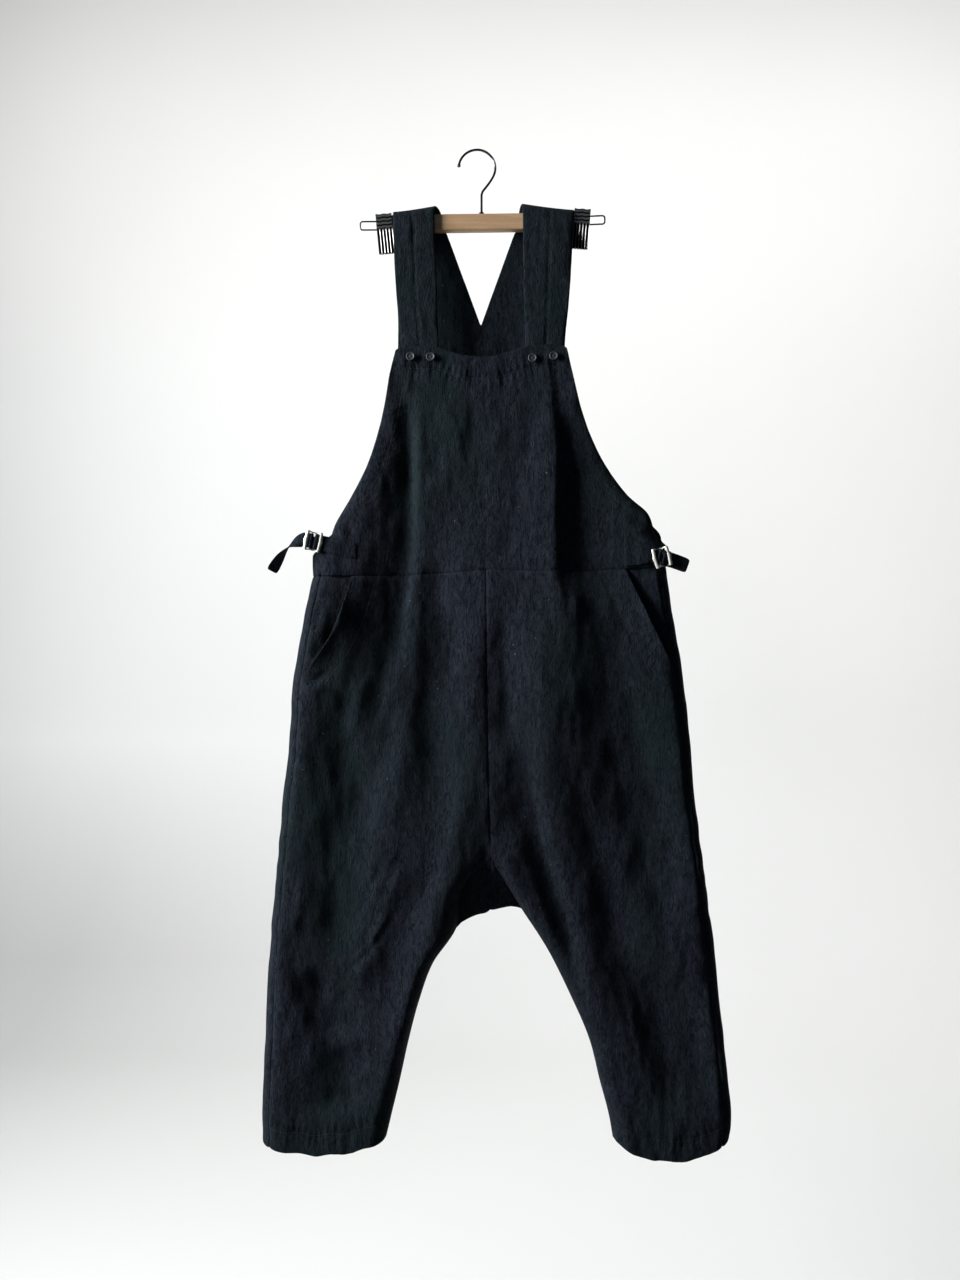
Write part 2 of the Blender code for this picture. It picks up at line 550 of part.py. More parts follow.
def garment_form():
    """The whole garment as one welded surface, each face marked with its panel."""
    bm = bmesh.new()
    layer = bm.faces.layers.int.new("panel")
    index = {name: i for i, name in enumerate(PANELS)}
    for side, half in HALVES.items():
        places = half.row_places()
        mirror = side == "right"
        pocket_rows = [p for p in places if p <= half.place("pocket end")]

        def front_name(r, c, side=side, rows=len(pocket_rows) - 1):
            margin = "_margin" if c == 0 and r < rows else ""
            return index[f"front_leg_{side}{margin}"]

        add_grid(bm, layer, [half.front_row(p) for p in places], front_name, not mirror)
        hips = [half.hip_row(p) for p in pocket_rows]
        add_grid(bm, layer, hips, lambda r, c, side=side: index[f"hip_{side}"], not mirror)
        backs = [half.back_row(p) for p in places]
        back_name = index[f"back_leg_{side}"]
        add_grid(bm, layer, backs, lambda r, c, n=back_name: n, mirror)
        first, last = half.place("crotch"), half.place("joint")
        seats = [half.seat_row(p) for p in places if first <= p <= last]
        add_grid(bm, layer, seats, lambda r, c, n=back_name: n, mirror)
        upper = back_bib_rows(side)
        add_grid(bm, layer, upper, lambda r, c: index["back_bib"], not mirror)
    add_grid(bm, layer, bib_rows(), lambda r, c: index["front_bib"], False)
    bmesh.ops.remove_doubles(bm, verts=bm.verts, dist=0.00005)
    bm.normal_update()
    return bm


def draw_back(bm, distance):
    """Moves the outline of an open sheet inwards, in the plane of the cloth."""
    moves = {}
    for edge in bm.edges:
        if not edge.is_boundary:
            continue
        face = edge.link_faces[0]
        loop = next(l for l in face.loops if l.edge == edge)
        along = (loop.link_loop_next.vert.co - loop.vert.co).normalized()
        inwards = face.normal.cross(along).normalized()
        for vert in edge.verts:
            moves.setdefault(vert, []).append(inwards)
    for vert, sides in moves.items():
        total = sum(sides, Vector())
        if total.length < 0.2:
            continue
        direction = total.normalized()
        cosine = max(direction.dot(sides[0]), 0.5)
        vert.co += direction * (distance / cosine)


def thicken(bm, start, thickness):
    """Gives an open sheet its thickness, inwards along the direction kept on each point."""
    inward = bm.verts.layers.float_vector["inward"]
    made = bmesh.ops.extrude_face_region(bm, geom=bm.faces[:], use_keep_orig=True)
    for item in made["geom"]:
        if isinstance(item, bmesh.types.BMVert):
            item.co += item[inward] * (start + thickness)
            item.tag = True
    for vert in bm.verts:
        if not vert.tag:
            vert.co += vert[inward] * start
    bmesh.ops.triangulate(bm, faces=bm.faces[:])
    bmesh.ops.recalc_face_normals(bm, faces=bm.faces[:])


def cut_panel(form, names, start=0.0, thickness=CLOTH, lift=None):
    """One panel of the form as a wall of cloth."""
    bm = form.copy()
    layer = bm.faces.layers.int["panel"]
    inward = bm.verts.layers.float_vector.new("inward")
    for vert in bm.verts:
        vert[inward] = -vert.normal
    wanted = {PANELS.index(name) for name in names}
    others = [face for face in bm.faces if face[layer] not in wanted]
    bmesh.ops.delete(bm, geom=others, context="FACES")
    bm.normal_update()
    draw_back(bm, SEAM_GAP / 2)
    if lift:
        for vert in bm.verts:
            vert.co -= vert[inward] * lift(vert.co)
    thicken(bm, start, thickness)
    return bm


def pocket_lift(side):
    """The pocket's edge gapes: it stands off the hip piece, most in the middle of the opening."""
    half = HALVES[side]
    last = half.place("pocket end")
    places = np.linspace(0, last, 31)
    edge_share = 0.2  # how far along its row the pocket's edge lies
    line = []
    for p in places:
        z = between(half.at("edge_z", p), half.at("front_z", p), edge_share)
        line.append((half.at("open_x", p), z))
    curve = np.array(line)

    def lift(point):
        away = np.hypot(curve[:, 0] - point.x, curve[:, 1] - point.z)
        nearest = int(away.argmin())
        if away[nearest] > GAPE_REACH:
            return 0.0
        along = math.sin(math.pi * nearest / (len(curve) - 1))
        return POCKET_GAPE[side] * along * (1.0 - away[nearest] / GAPE_REACH) ** 1.5

    return lift


# ---------------------------------------------------------------- objects
def material(name, colour, roughness, metallic=0.0):
    made = bpy.data.materials.new(name)
    made.use_nodes = True
    shader = made.node_tree.nodes["Principled BSDF"]
    shader.inputs["Base Color"].default_value = (*colour, 1.0)
    shader.inputs["Roughness"].default_value = roughness
    shader.inputs["Metallic"].default_value = metallic
    made.diffuse_color = (*colour, 1.0)
    return made


CLOTH_BLACK = (0.012, 0.014, 0.017)


def add_object(name, bm, colour, roughness, metallic=0.0, smooth_angle=None):
    mesh = bpy.data.meshes.new(name)
    bm.to_mesh(mesh)
    bm.free()
    if smooth_angle is not None:
        mesh.shade_smooth()
        mesh.set_sharp_from_angle(angle=math.radians(smooth_angle))
    obj = bpy.data.objects.new(name, mesh)
    obj.data.materials.append(material(f"{name}_finish", colour, roughness, metallic))
    bpy.context.scene.collection.objects.link(obj)
    return obj


def cloth_object(name, bm):
    return add_object(name, bm, CLOTH_BLACK, 0.95, smooth_angle=50)


def sheet(rows, thickness):
    """A free strip of cloth from rows of points on its outer face."""
    bm = bmesh.new()
    inward = bm.verts.layers.float_vector.new("inward")
    grid = [[bm.verts.new(point) for point in row] for row in rows]
    for upper, lower in zip(grid, grid[1:]):
        for c in range(len(upper) - 1):
            bm.faces.new((upper[c], upper[c + 1], lower[c + 1], lower[c]))
    bm.normal_update()
    for vert in bm.verts:
        vert[inward] = -vert.normal
    thicken(bm, 0.0, thickness)
    return bm


def make_panels():
    form = garment_form()
    cloth_object("front_bib", cut_panel(form, ["front_bib"]))
    cloth_object("back_bib", cut_panel(form, ["back_bib"]))
    for side in HALVES:
        margin = f"front_leg_{side}_margin"
        front = cut_panel(form, [f"front_leg_{side}", margin], lift=pocket_lift(side))
        cloth_object(f"front_leg_{side}", front)
        cloth_object(f"back_leg_{side}", cut_panel(form, [f"back_leg_{side}"]))
        hip = cut_panel(form, [f"hip_{side}", margin], start=CLOTH + SEAM_GAP)
        cloth_object(f"pocket_hip_{side}", hip)
    form.free()


def make_straps():
    for side in ("left", "right"):
        lift = RIGHT_CREST_LIFT if side == "right" else 0.0
        rows = []
        for row in STRAP_ROWS:
            outer_x = getattr(row, f"{side}_outer")
            inner_x = getattr(row, f"{side}_inner")
            over_bar = max(0.0, 1.0 - abs(row.y) / 0.0112)
            points = []
            for c in range(STRAP_COLUMNS + 1):
                t = c / STRAP_COLUMNS
                z = between(row.z_outer, row.z_inner, t**1.3) + lift * min(1.0, 2.5 * over_bar)
                points.append(Vector((between(outer_x, inner_x, t), row.y, z)))
            rows.append(points if side == "right" else points[::-1])
        cloth_object(f"strap_{side}", sheet(rows, STRAP_CLOTH))


def make_buttons():
    profile = [
        (0.0, 0.0),
        (0.46, 0.0),
        (0.46, 0.0010),
        (0.90, 0.0010),
        (1.00, 0.0017),
        (0.97, 0.0026),
        (0.86, 0.0030),
        (0.72, 0.0027),
        (0.0, 0.0023),
    ]
    for number, (x, z) in enumerate(BUTTON_PLACES, 1):
        bm = bmesh.new()
        points = [bm.verts.new((r * BUTTON_RADIUS, -h, 0.0)) for r, h in profile]
        edges = [bm.edges.new(pair) for pair in zip(points, points[1:])]
        bmesh.ops.spin(
            bm,
            geom=points + edges,
            cent=(0, 0, 0),
            axis=(0, 1, 0),
            angle=2 * math.pi,
            steps=BUTTON_STEPS,
            use_merge=True,
        )
        bmesh.ops.remove_doubles(bm, verts=bm.verts, dist=0.00001)
        bmesh.ops.triangulate(bm, faces=bm.faces[:])
        bmesh.ops.recalc_face_normals(bm, faces=bm.faces[:])
        button = add_object(f"button_{number}", bm, (0.016, 0.018, 0.020), 0.45, smooth_angle=40)
        button.location = (x, front_y(x, z, EDGE_ROUND) - 0.0006, z)


# ---------------------------------------------------------------- waist adjusters
def make_buckle(side, frame):
    """A flat frame with two slots, standing between the cloth turned round its bars."""
    reach = BAR_REACH + BAR_HALF
    cuts_along = [-reach, -BAR_REACH + BAR_HALF, -BAR_HALF, BAR_HALF, BAR_REACH - BAR_HALF, reach]
    inner = BUCKLE_HALF_HEIGHT - BUCKLE_RAIL
    cuts_up = [-BUCKLE_HALF_HEIGHT, -inner, inner, BUCKLE_HALF_HEIGHT]
    bm = bmesh.new()
    grid = [[bm.verts.new((a, 0.0, b)) for a in cuts_along] for b in cuts_up]
    for r in range(len(cuts_up) - 1):
        for c in range(len(cuts_along) - 1):
            if r == 1 and c in (1, 3):
                continue
            bm.faces.new((grid[r][c], grid[r][c + 1], grid[r + 1][c + 1], grid[r + 1][c]))
    made = bmesh.ops.extrude_face_region(bm, geom=bm.faces[:], use_keep_orig=True)
    for item in made["geom"]:
        if isinstance(item, bmesh.types.BMVert):
            item.co.y += BUCKLE_THICKNESS
    bmesh.ops.translate(bm, verts=bm.verts, vec=(0, -BUCKLE_THICKNESS / 2, 0))
    bmesh.ops.recalc_face_normals(bm, faces=bm.faces[:])
    buckle = add_object(f"buckle_{side}", bm, (0.75, 0.75, 0.73), 0.25, 1.0)
    buckle.location = frame.origin
    buckle.rotation_euler = (0.0, -frame.sign * math.radians(frame.lean), 0.0)


class AdjusterFrame:
    """along points from the tab out through the buckle; up is across the strip; out is towards -Y."""

    def __init__(self, side):
        spec = ADJUSTERS[side]
        self.sign = -1.0 if side == "left" else 1.0
        self.lean = spec.lean if side == "left" else -spec.lean
        angle = math.radians(self.lean)
        self.origin = Vector((spec.x, spec.y, spec.z))
        self.along = Vector((self.sign * math.cos(angle), 0.0, math.sin(angle)))
        self.up = Vector((-self.sign * math.sin(angle), 0.0, math.cos(angle)))

    def place(self, along, out, up=0.0):
        return self.origin + self.along * along + Vector((0.0, -out, 0.0)) + self.up * up


def turn_round(bar, first, last, steps=8):
    """(along, out) of the outer face of a strip that turns round a bar of the buckle."""
    angles = np.radians(np.linspace(first, last, steps + 1))
    return [(bar + TURN_RADIUS * math.cos(a), TURN_RADIUS * math.sin(a)) for a in angles]


def crossing_rows(points, across, widths, columns=1):
    """Rows of a strip from its middle line, the direction across it and its width."""
    rows = []
    for point, direction, width in zip(points, across, widths):
        edges = np.linspace(-0.5, 0.5, columns + 1)
        rows.append([point + direction * (width * float(e)) for e in edges])
    return rows


def make_tab(side, frame):
    """Sewn flat to the bib at its wide end, then over the buckle's inner bar and under it."""
    spec = ADJUSTERS[side]
    sewn = Vector((spec.tab_x, 0.0, spec.tab_z))
    turn = turn_round(-BAR_REACH, 90, -100)
    bar_top = frame.place(*turn[0])
    edge = HALVES[side].at("edge_x", 0)
    clear = STRIP_CLOTH + 2 * SEAM_GAP
    rows = []
    for t in (0.0, 0.12, 0.3, 0.5, 0.7, 0.88):
        middle = sewn.lerp(bar_top, t)
        upright = Vector((0.0, 0.0, 1.0)).lerp(frame.up, t).normalized()
        width = between(spec.tab_height, TAB_END_WIDTH, t)
        row = crossing_rows([middle], [upright], [width], TAB_COLUMNS)[0]
        for point in row:
            lie = front_y(point.x, point.z, abs(point.x - edge)) - clear
            point.y = min(lie, between(lie, bar_top.y, t**2))
        rows.append(row)
    ends = [frame.place(along, out) for along, out in turn]
    rows += crossing_rows(ends, [frame.up] * len(ends), [TAB_END_WIDTH] * len(ends), TAB_COLUMNS)
    if side == "right":
        rows = [row[::-1] for row in rows]
    cloth_object(f"tab_{side}", sheet(rows, STRIP_CLOTH))


def make_strip(side, frame):
    """From the back, round the side, under the middle bar, back over it and out as a free tail."""
    tail = LEFT_TAIL if side == "left" else RIGHT_TAIL
    edge = frame.sign * (abs(HALVES[side].at("edge_x", 0)) + (0.0 if side == "left" else 0.0025))
    z = frame.origin.z
    points, across = [], []
    for reach in (0.034, 0.024, 0.014, 0.006, 0.0015):
        x = edge - frame.sign * reach
        clear = SEAM_GAP * 2 + STRIP_CLOTH
        points.append(Vector((x, back_y(x, z, reach) + clear, z)))
        across.append(Vector((0.0, 0.0, 1.0)))
    side_x = edge + frame.sign * (STRIP_CLOTH + 0.0010)
    for x_in, y in ((0.0, 0.0010), (-0.0002, -0.0060)):
        points.append(Vector((side_x + frame.sign * x_in, y, z)))
        across.append(Vector((0.0, 0.0, 1.0)).lerp(frame.up, 0.5).normalized())
    turn = turn_round(0.0, 300, 80, 9)
    first = frame.place(*turn[0])
    points.append(points[-1].lerp(first, 0.55))
    across.append(frame.up)
    for along, out in turn:
        points.append(frame.place(along, out))
        across.append(frame.up)
    points.append(frame.place(BAR_REACH, TURN_RADIUS + 0.0002))
    across.append(frame.up)
    for step in tail:
        points.append(Vector((step.x, step.y, step.z)))
        direction = (points[-1] - points[-2]).normalized()
        level = direction.cross(Vector((0.0, frame.sign, 0.0))).normalized()
        roll = math.radians(step.roll)
        across.append((level * math.cos(roll) + Vector((0.0, 1.0, 0.0)) * math.sin(roll)).normalized())
    rows = crossing_rows(points, across, [STRIP_WIDTH] * len(points))
    if side == "right":
        rows = [row[::-1] for row in rows]
    cloth_object(f"strip_{side}", sheet(rows, STRIP_CLOTH))


def make_adjusters():
    for side in ADJUSTERS:
        frame = AdjusterFrame(side)
        make_buckle(side, frame)
        make_tab(side, frame)
        make_strip(side, frame)


# ---------------------------------------------------------------- hanger
def bar_top(x):
    return BAR_TOP_Z + BAR_SLOPE * x


def make_bar():
    bm = bmesh.new()
    bmesh.ops.create_cube(bm, size=1.0)
    bmesh.ops.scale(bm, vec=(BAR_LENGTH, BAR_DEPTH, BAR_HEIGHT), verts=bm.verts)
    bmesh.ops.bevel(
        bm,
        geom=bm.edges[:],
        offset=BAR_EDGE,
        segments=2,
        profile=0.5,
        affect="EDGES",
        material=-1,
    )
    bar = add_object("hanger_bar", bm, (0.51, 0.33, 0.19), 0.55, smooth_angle=40)
    bar.location = (BAR_MIDDLE_X, 0.0, bar_top(BAR_MIDDLE_X) - BAR_HEIGHT / 2)
    bar.rotation_euler = (0.0, -math.atan(BAR_SLOPE), 0.0)


def wire(name, points, thickness, resolution, colour=(0.62, 0.62, 0.62)):
    curve = bpy.data.curves.new(name, "CURVE")
    curve.dimensions = "3D"
    curve.bevel_depth = thickness / 2
    curve.bevel_resolution = resolution
    curve.use_fill_caps = True
    spline = curve.splines.new("POLY")
    spline.points.add(len(points) - 1)
    for place, point in zip(spline.points, points):
        place.co = (*point, 1.0)
    obj = bpy.data.objects.new(name, curve)
    curve.materials.append(material(f"{name}_finish", colour, 0.18, 1.0))
    bpy.context.scene.collection.objects.link(obj)
    return obj


def make_hook():
    radius = HOOK_INSIDE + HOOK_WIRE / 2
    centre_z = HOOK_WIRE / 2 - radius
    angles = np.radians(np.linspace(HOOK_TIP_ANGLE, HOOK_END_ANGLE, 20))
    points = [
        (HOOK_MIDDLE_X + radius * math.cos(a), 0.0, centre_z + radius * math.sin(a))
        for a in angles
    ]
    end_x, _, end_z = points[-1]
    shank_top = -0.0560
    bend = [(between(end_x, SHANK_X, t), 0.0, between(end_z, shank_top, t**0.86)) for t in (0.33, 0.66, 0.9)]
    shank_end = bar_top(SHANK_X) + SEAM_GAP
    points += bend + [(SHANK_X, 0.0, shank_top - 0.003), (SHANK_X, 0.0, shank_end)]
    wire("hanger_hook", points, HOOK_WIRE, 2)


def make_rails():
    """A long wire loop stands out of each end of the bar, and a clip rides on it."""
    for side, rail in RAILS.items():
        sign = -1.0 if side == "left" else 1.0
        root = BAR_MIDDLE_X + sign * (BAR_LENGTH / 2 + SEAM_GAP + 0.0002)
        half = (rail.end_upper_z - rail.end_lower_z) / 2
        middle_z = (rail.end_upper_z + rail.end_lower_z) / 2
        corner = 0.0034
        stop = rail.end_x - sign * RAIL_WIRE / 2
        points = [(root, 0.0, rail.root_upper_z)]
        for turn, spot in ((90, half - corner), (0, -half + corner)):
            for angle in (turn, turn - 30, turn - 60, turn - 90):
                a = math.radians(angle)
                x = stop - sign * corner + sign * corner * math.cos(a)
                points.append((x, 0.0, middle_z + spot + corner * math.sin(a)))
        points.append((root, 0.0, rail.root_lower_z))
        wire(f"hanger_rail_{side}", points, RAIL_WIRE, 1)


def clip_side(height, width, ribs):
    """(y, z) of one half of the clip's outline, from its top down, with ribs across its upper part."""
    points = [(0.30 * width, 0.0)]
    rib_step = 0.38 * height / ribs
    for i in range(ribs):
        z = -0.002 - i * rib_step
        points.append((0.80 * width, z))
        points.append((1.00 * width, z - 0.5 * rib_step))
    points.append((0.84 * width, -0.42 * height))
    points.append((0.50 * width, -0.72 * height))
    points.append((0.24 * width, -height))
    return points


def make_clips():
    width = 0.0085
    for side, clip in CLIPS.items():
        rail = RAILS[side]
        upper = between(rail.root_upper_z, rail.end_upper_z, 0.25)
        top = upper + 0.0088
        right = clip_side(CLIP_HEIGHT, width, 4)
        outline = right + [(-y, z) for y, z in reversed(right)]
        roof = upper + RAIL_WIRE / 2 + 0.0011 - top
        hollow = [(0.0044, roof), (0.0058, -0.30 * CLIP_HEIGHT), (0.0012, -0.86 * CLIP_HEIGHT)]
        hollow = hollow + [(-y, z) for y, z in reversed(hollow)]
        bm = bmesh.new()
        outer = [bm.verts.new((0.0, y, z)) for y, z in outline]
        inner = [bm.verts.new((0.0, y, z)) for y, z in hollow]
        edges = []
        for loop in (outer, inner):
            edges += [bm.edges.new((loop[i - 1], loop[i])) for i in range(len(loop))]
        bmesh.ops.triangle_fill(bm, use_beauty=True, edges=edges)
        made = bmesh.ops.extrude_face_region(bm, geom=bm.faces[:], use_keep_orig=True)
        for item in made["geom"]:
            if isinstance(item, bmesh.types.BMVert):
                item.co.x += CLIP_WIDTH
        bmesh.ops.translate(bm, verts=bm.verts, vec=(-CLIP_WIDTH / 2, 0, 0))
        bmesh.ops.triangulate(bm, faces=bm.faces[:])
        bmesh.ops.recalc_face_normals(bm, faces=bm.faces[:])
        obj = add_object(f"hanger_clip_{side}", bm, (0.66, 0.65, 0.64), 0.22, 1.0)
        obj.location = (clip.x, 0.0, top)
        obj.rotation_euler = (0.0, math.radians(clip.lean), 0.0)


def main():
    for obj in list(bpy.data.objects):
        bpy.data.objects.remove(obj)
    make_panels()
    make_straps()
    make_buttons()
    make_adjusters()
    make_bar()
    make_hook()
    make_rails()
    make_clips()


main()
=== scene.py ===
"""Black dungarees on a trouser-clip hanger: cloth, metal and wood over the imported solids.

Metres, +Z up. The garment's front faces -Y, and left and right are the viewer's, from the front.
The cloth is drawn from the same named sizes as the solids: rows run round each half of the garment,
and creases, seams and puckers are laid on that form before each panel gets its thickness.
"""

import json
import math
from collections import namedtuple

import bmesh
import bpy
import numpy as np
from mathutils import Matrix, Vector
from mathutils.bvhtree import BVHTree

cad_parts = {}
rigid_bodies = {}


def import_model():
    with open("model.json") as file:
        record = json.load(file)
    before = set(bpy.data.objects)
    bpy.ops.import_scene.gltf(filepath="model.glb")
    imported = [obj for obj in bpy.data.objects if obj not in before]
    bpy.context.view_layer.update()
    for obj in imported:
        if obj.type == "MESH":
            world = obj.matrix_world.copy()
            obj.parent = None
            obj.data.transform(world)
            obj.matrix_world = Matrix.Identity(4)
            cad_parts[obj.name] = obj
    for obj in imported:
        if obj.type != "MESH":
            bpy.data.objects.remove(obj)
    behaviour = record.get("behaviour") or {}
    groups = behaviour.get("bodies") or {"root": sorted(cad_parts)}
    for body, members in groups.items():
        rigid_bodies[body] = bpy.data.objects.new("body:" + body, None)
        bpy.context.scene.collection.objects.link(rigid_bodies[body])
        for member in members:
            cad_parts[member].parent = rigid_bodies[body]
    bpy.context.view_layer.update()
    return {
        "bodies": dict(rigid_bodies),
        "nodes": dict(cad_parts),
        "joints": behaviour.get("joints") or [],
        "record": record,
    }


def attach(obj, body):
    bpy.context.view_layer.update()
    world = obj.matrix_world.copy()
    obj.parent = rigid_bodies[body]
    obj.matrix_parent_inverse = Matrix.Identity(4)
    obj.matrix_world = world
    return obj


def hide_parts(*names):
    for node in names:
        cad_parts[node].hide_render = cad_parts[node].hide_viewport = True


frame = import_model()

MM = 0.001


# ---------------------------------------------------------------- reading the tables
def rows_of(kind, text):
    """The rows of a table, one a line: its name, where it has one, and its numbers. A dash is None."""
    made = []
    for line in text.strip().splitlines():
        name, colon, numbers = line.rpartition(":")
        values = [None if word == "-" else float(word) for word in numbers.split()]
        made.append(kind(*([name] if colon else []), *values))
    return made


def creases_of(text):
    """Creases, one a line. name: width on its left, on its right, height: points (x, z) of its line."""
    made = []
    for line in text.strip().splitlines():
        name, sizes, points = line.split(":")
        line = [tuple(map(float, point.split(","))) for point in points.split()]
        made.append(Crease(name, line, *map(float, sizes.split())))
    return made


# ---------------------------------------------------------------- driving sizes of the form
CLOTH = 0.0013  # one layer of cloth
TURNED_CLOTH = 0.0021  # straps and strips are sewn of two layers
EDGE_ROUND = 0.028  # how far in from a side fold the cloth reaches its full depth
EDGE_POWER = 2.5  # how square the cloth turns there
EDGE_WAVER = 0.0011  # how far the side folds waver
HEM_WAVER = 0.0022  # and the hems
SIDE_SEAM_IN = 0.013  # the side seams lie this far inside the silhouette, on the front
BIB_TOP_CORNER_Z = -0.2700
SEAM_ALLOWANCE = 0.0005  # how far each sheet runs on past its seam line
FINE_STEP = 0.0042  # spacing of the rows on the front
PLAIN_STEP = 0.0070  # and on the back

# Each half of the garment below the waist. edge: silhouette. front: centre front, then the inseam.
# back: centre back, then the lower edge of the seat, which meets the inseam at the joint of the legs.
# open_x: the slanted pocket edge, until it meets the side seam. sag: how far the row hangs in its middle.
Station = namedtuple("Station", "name edge_x edge_z open_x front_x front_z back_x back_z inner sag")
LEFT_HALF = rows_of(Station, """
waist:       -0.223 -0.571  -0.168   0.008 -0.5625   0.008 -0.563    0 0.003
hip 1:       -0.231 -0.609 -0.1794  0.0083  -0.603   0.008 -0.608    0 0.003
hip 2:        -0.24 -0.656  -0.199  0.0088  -0.652  0.0085 -0.661    0 0.003
pocket end: -0.2485 -0.708 -0.2355  0.0092  -0.704   0.009 -0.718    0 0.002
thigh 1:    -0.2525 -0.763       -    0.01  -0.757    0.01 -0.778    0     0
thigh 2:     -0.257 -0.816       -   0.011  -0.808   0.011  -0.84    0     0
thigh 3:    -0.2627  -0.87       -   0.012  -0.858   0.012 -0.905    0     0
thigh 4:     -0.267  -0.92       -  0.0135  -0.905   0.013 -0.968    0     0
crotch:     -0.2705 -0.958       -  0.0147 -0.9395   0.014 -1.018    0     0
seat 1:      -0.273 -0.985       -  -0.012  -0.967  -0.003 -1.024 0.35     0
seat 2:      -0.276 -1.012       -  -0.025  -0.995  -0.019 -1.031  0.7     0
joint:      -0.2785 -1.045       -  -0.031   -1.04  -0.031  -1.04    1     0
knee 1:     -0.2815  -1.09       -  -0.062  -1.086  -0.062 -1.086    1     0
knee 2:     -0.2845 -1.138       - -0.0808  -1.137 -0.0808 -1.137    1     0
calf 1:     -0.2865 -1.191       - -0.0948   -1.19 -0.0948  -1.19    1 0.002
calf 2:     -0.2885 -1.245       - -0.1065  -1.243 -0.1065 -1.243    1 0.004
hem band:   -0.2905 -1.288       - -0.1165  -1.284 -0.1165 -1.284    1 0.007
hem:         -0.289 -1.321       - -0.1245  -1.318 -0.1245 -1.318    1 0.012
""")
RIGHT_HALF = rows_of(Station, """
waist:       0.248 -0.558  0.191  0.008 -0.5625  0.008  -0.563    0 0.004
hip 1:      0.2547 -0.605  0.211 0.0083  -0.603  0.008  -0.608    0 0.003
hip 2:       0.262 -0.652 0.2335 0.0088  -0.652 0.0085  -0.661    0 0.003
pocket end:   0.27 -0.697  0.257 0.0092  -0.704  0.009  -0.718    0 0.002
thigh 1:     0.276 -0.752      -   0.01  -0.757   0.01  -0.778    0     0
thigh 2:     0.281 -0.808      -  0.011  -0.808  0.011   -0.84    0     0
thigh 3:     0.287 -0.868      -  0.012  -0.858  0.012  -0.905    0     0
thigh 4:     0.293  -0.92      - 0.0135  -0.905  0.013  -0.968    0     0
crotch:     0.2985  -0.96      - 0.0147 -0.9395  0.014  -1.018    0     0
seat 1:      0.301 -0.982      -  0.028  -0.967  0.027  -1.015 0.35     0
seat 2:     0.3035 -1.003      -  0.042  -0.992  0.041  -1.012  0.7     0
joint:      0.3065 -1.026      - 0.0543 -1.0135 0.0543 -1.0135    1     0
knee 1:     0.3136 -1.072      - 0.0895  -1.068 0.0895  -1.068    1     0
knee 2:     0.3185  -1.13      -  0.121  -1.131  0.121  -1.131    1     0
calf 1:      0.325 -1.186      -  0.145  -1.187  0.145  -1.187    1 0.003
calf 2:      0.331  -1.24      -  0.159  -1.242  0.159  -1.242    1 0.006
hem band:    0.335 -1.284      - 0.1705  -1.285 0.1705  -1.285    1 0.012
hem:        0.3325 -1.318      -  0.177   -1.32  0.177   -1.32    1 0.022
""")

# How deep the form is at each height. tip: the side folds. drop: how much the free edges drop back.
Depth = namedtuple("Depth", "z tip front back drop")
DEPTHS = rows_of(Depth, """
-1.345 -0.004  -0.027 0.014    1
  -1.1 -0.004  -0.029 0.016    1
 -0.94 -0.004  -0.031 0.018    1
 -0.75 -0.004  -0.032 0.018    1
-0.571 -0.003  -0.028 0.015    1
-0.541 -0.003  -0.026 0.014  0.9
 -0.52 -0.002 -0.0245 0.013  0.5
-0.463 -0.002  -0.022 0.012  0.4
-0.348 -0.002  -0.018 0.012 0.15
  -0.3 -0.002  -0.016 0.012    0
 -0.26 -0.002 -0.0152 0.011    0
  -0.1 -0.002  -0.015 0.011    0
""")

# The bib from its waist seam up. follow: how much of the curve of the top edge a row takes.
BibRow = namedtuple("BibRow", "name left_x left_z right_x right_z follow")
BIB_ROWS = rows_of(BibRow, """
side seam:    -0.2105 -0.556  0.236 -0.545    0
armhole foot:   -0.21 -0.541  0.238 -0.532    0
armhole 1:     -0.199  -0.52  0.231 -0.511    0
armhole 2:      -0.19 -0.498  0.222 -0.487    0
armhole 3:    -0.1696 -0.463 0.1945 -0.462    0
armhole 4:      -0.15 -0.424  0.167 -0.424    0
armhole 5:     -0.137 -0.386 0.1475 -0.386  0.1
armhole 6:    -0.1275 -0.348  0.134 -0.348 0.25
armhole 7:    -0.1205 -0.309  0.124 -0.309  0.5
band:         -0.1155 -0.285  0.118 -0.283  0.8
top:           -0.112  -0.27 0.1145 -0.268    1
""")
BibTop = namedtuple("BibTop", "x z")
BIB_TOP = rows_of(BibTop, """
-0.113  -0.272
-0.104 -0.2665
-0.055 -0.2675
-0.039 -0.2735
-0.021 -0.2782
-0.002 -0.2804
 0.016 -0.2799
0.0344 -0.2753
 0.056  -0.268
  0.08 -0.2648
 0.106  -0.262
 0.115  -0.269
""")

# The back above its waist seam. wrap: how much of the row still folds round to the side seam.
BackRow = namedtuple("BackRow", "name left_x left_z right_x right_z wrap")
BACK_ROWS = rows_of(BackRow, """
side seam:    -0.2235 -0.556  0.249 -0.545    1
armhole foot:  -0.223 -0.541 0.2505 -0.532    1
armhole 1:     -0.212 -0.524  0.244 -0.514 0.15
armhole 2:      -0.19 -0.503  0.222 -0.492    0
armhole 3:     -0.166 -0.463  0.191 -0.463    0
armhole 4:     -0.145 -0.424  0.162 -0.424    0
armhole 5:     -0.132 -0.386  0.143 -0.386    0
armhole 6:     -0.123 -0.348   0.13 -0.348    0
armhole 7:     -0.116 -0.309   0.12 -0.309    0
armhole 8:     -0.111 -0.272  0.115 -0.272    0
V:              -0.11 -0.232  0.114 -0.232    0
""")
V_POINT = (0.0012, -0.2325)
V_ROWS = [-0.192, -0.150, -0.1050]
V_TOP_LEFT_X = -0.0460
V_TOP_RIGHT_X = 0.0475
BACK_TOP_LEFT_X = -0.1140
BACK_TOP_RIGHT_X = 0.1230

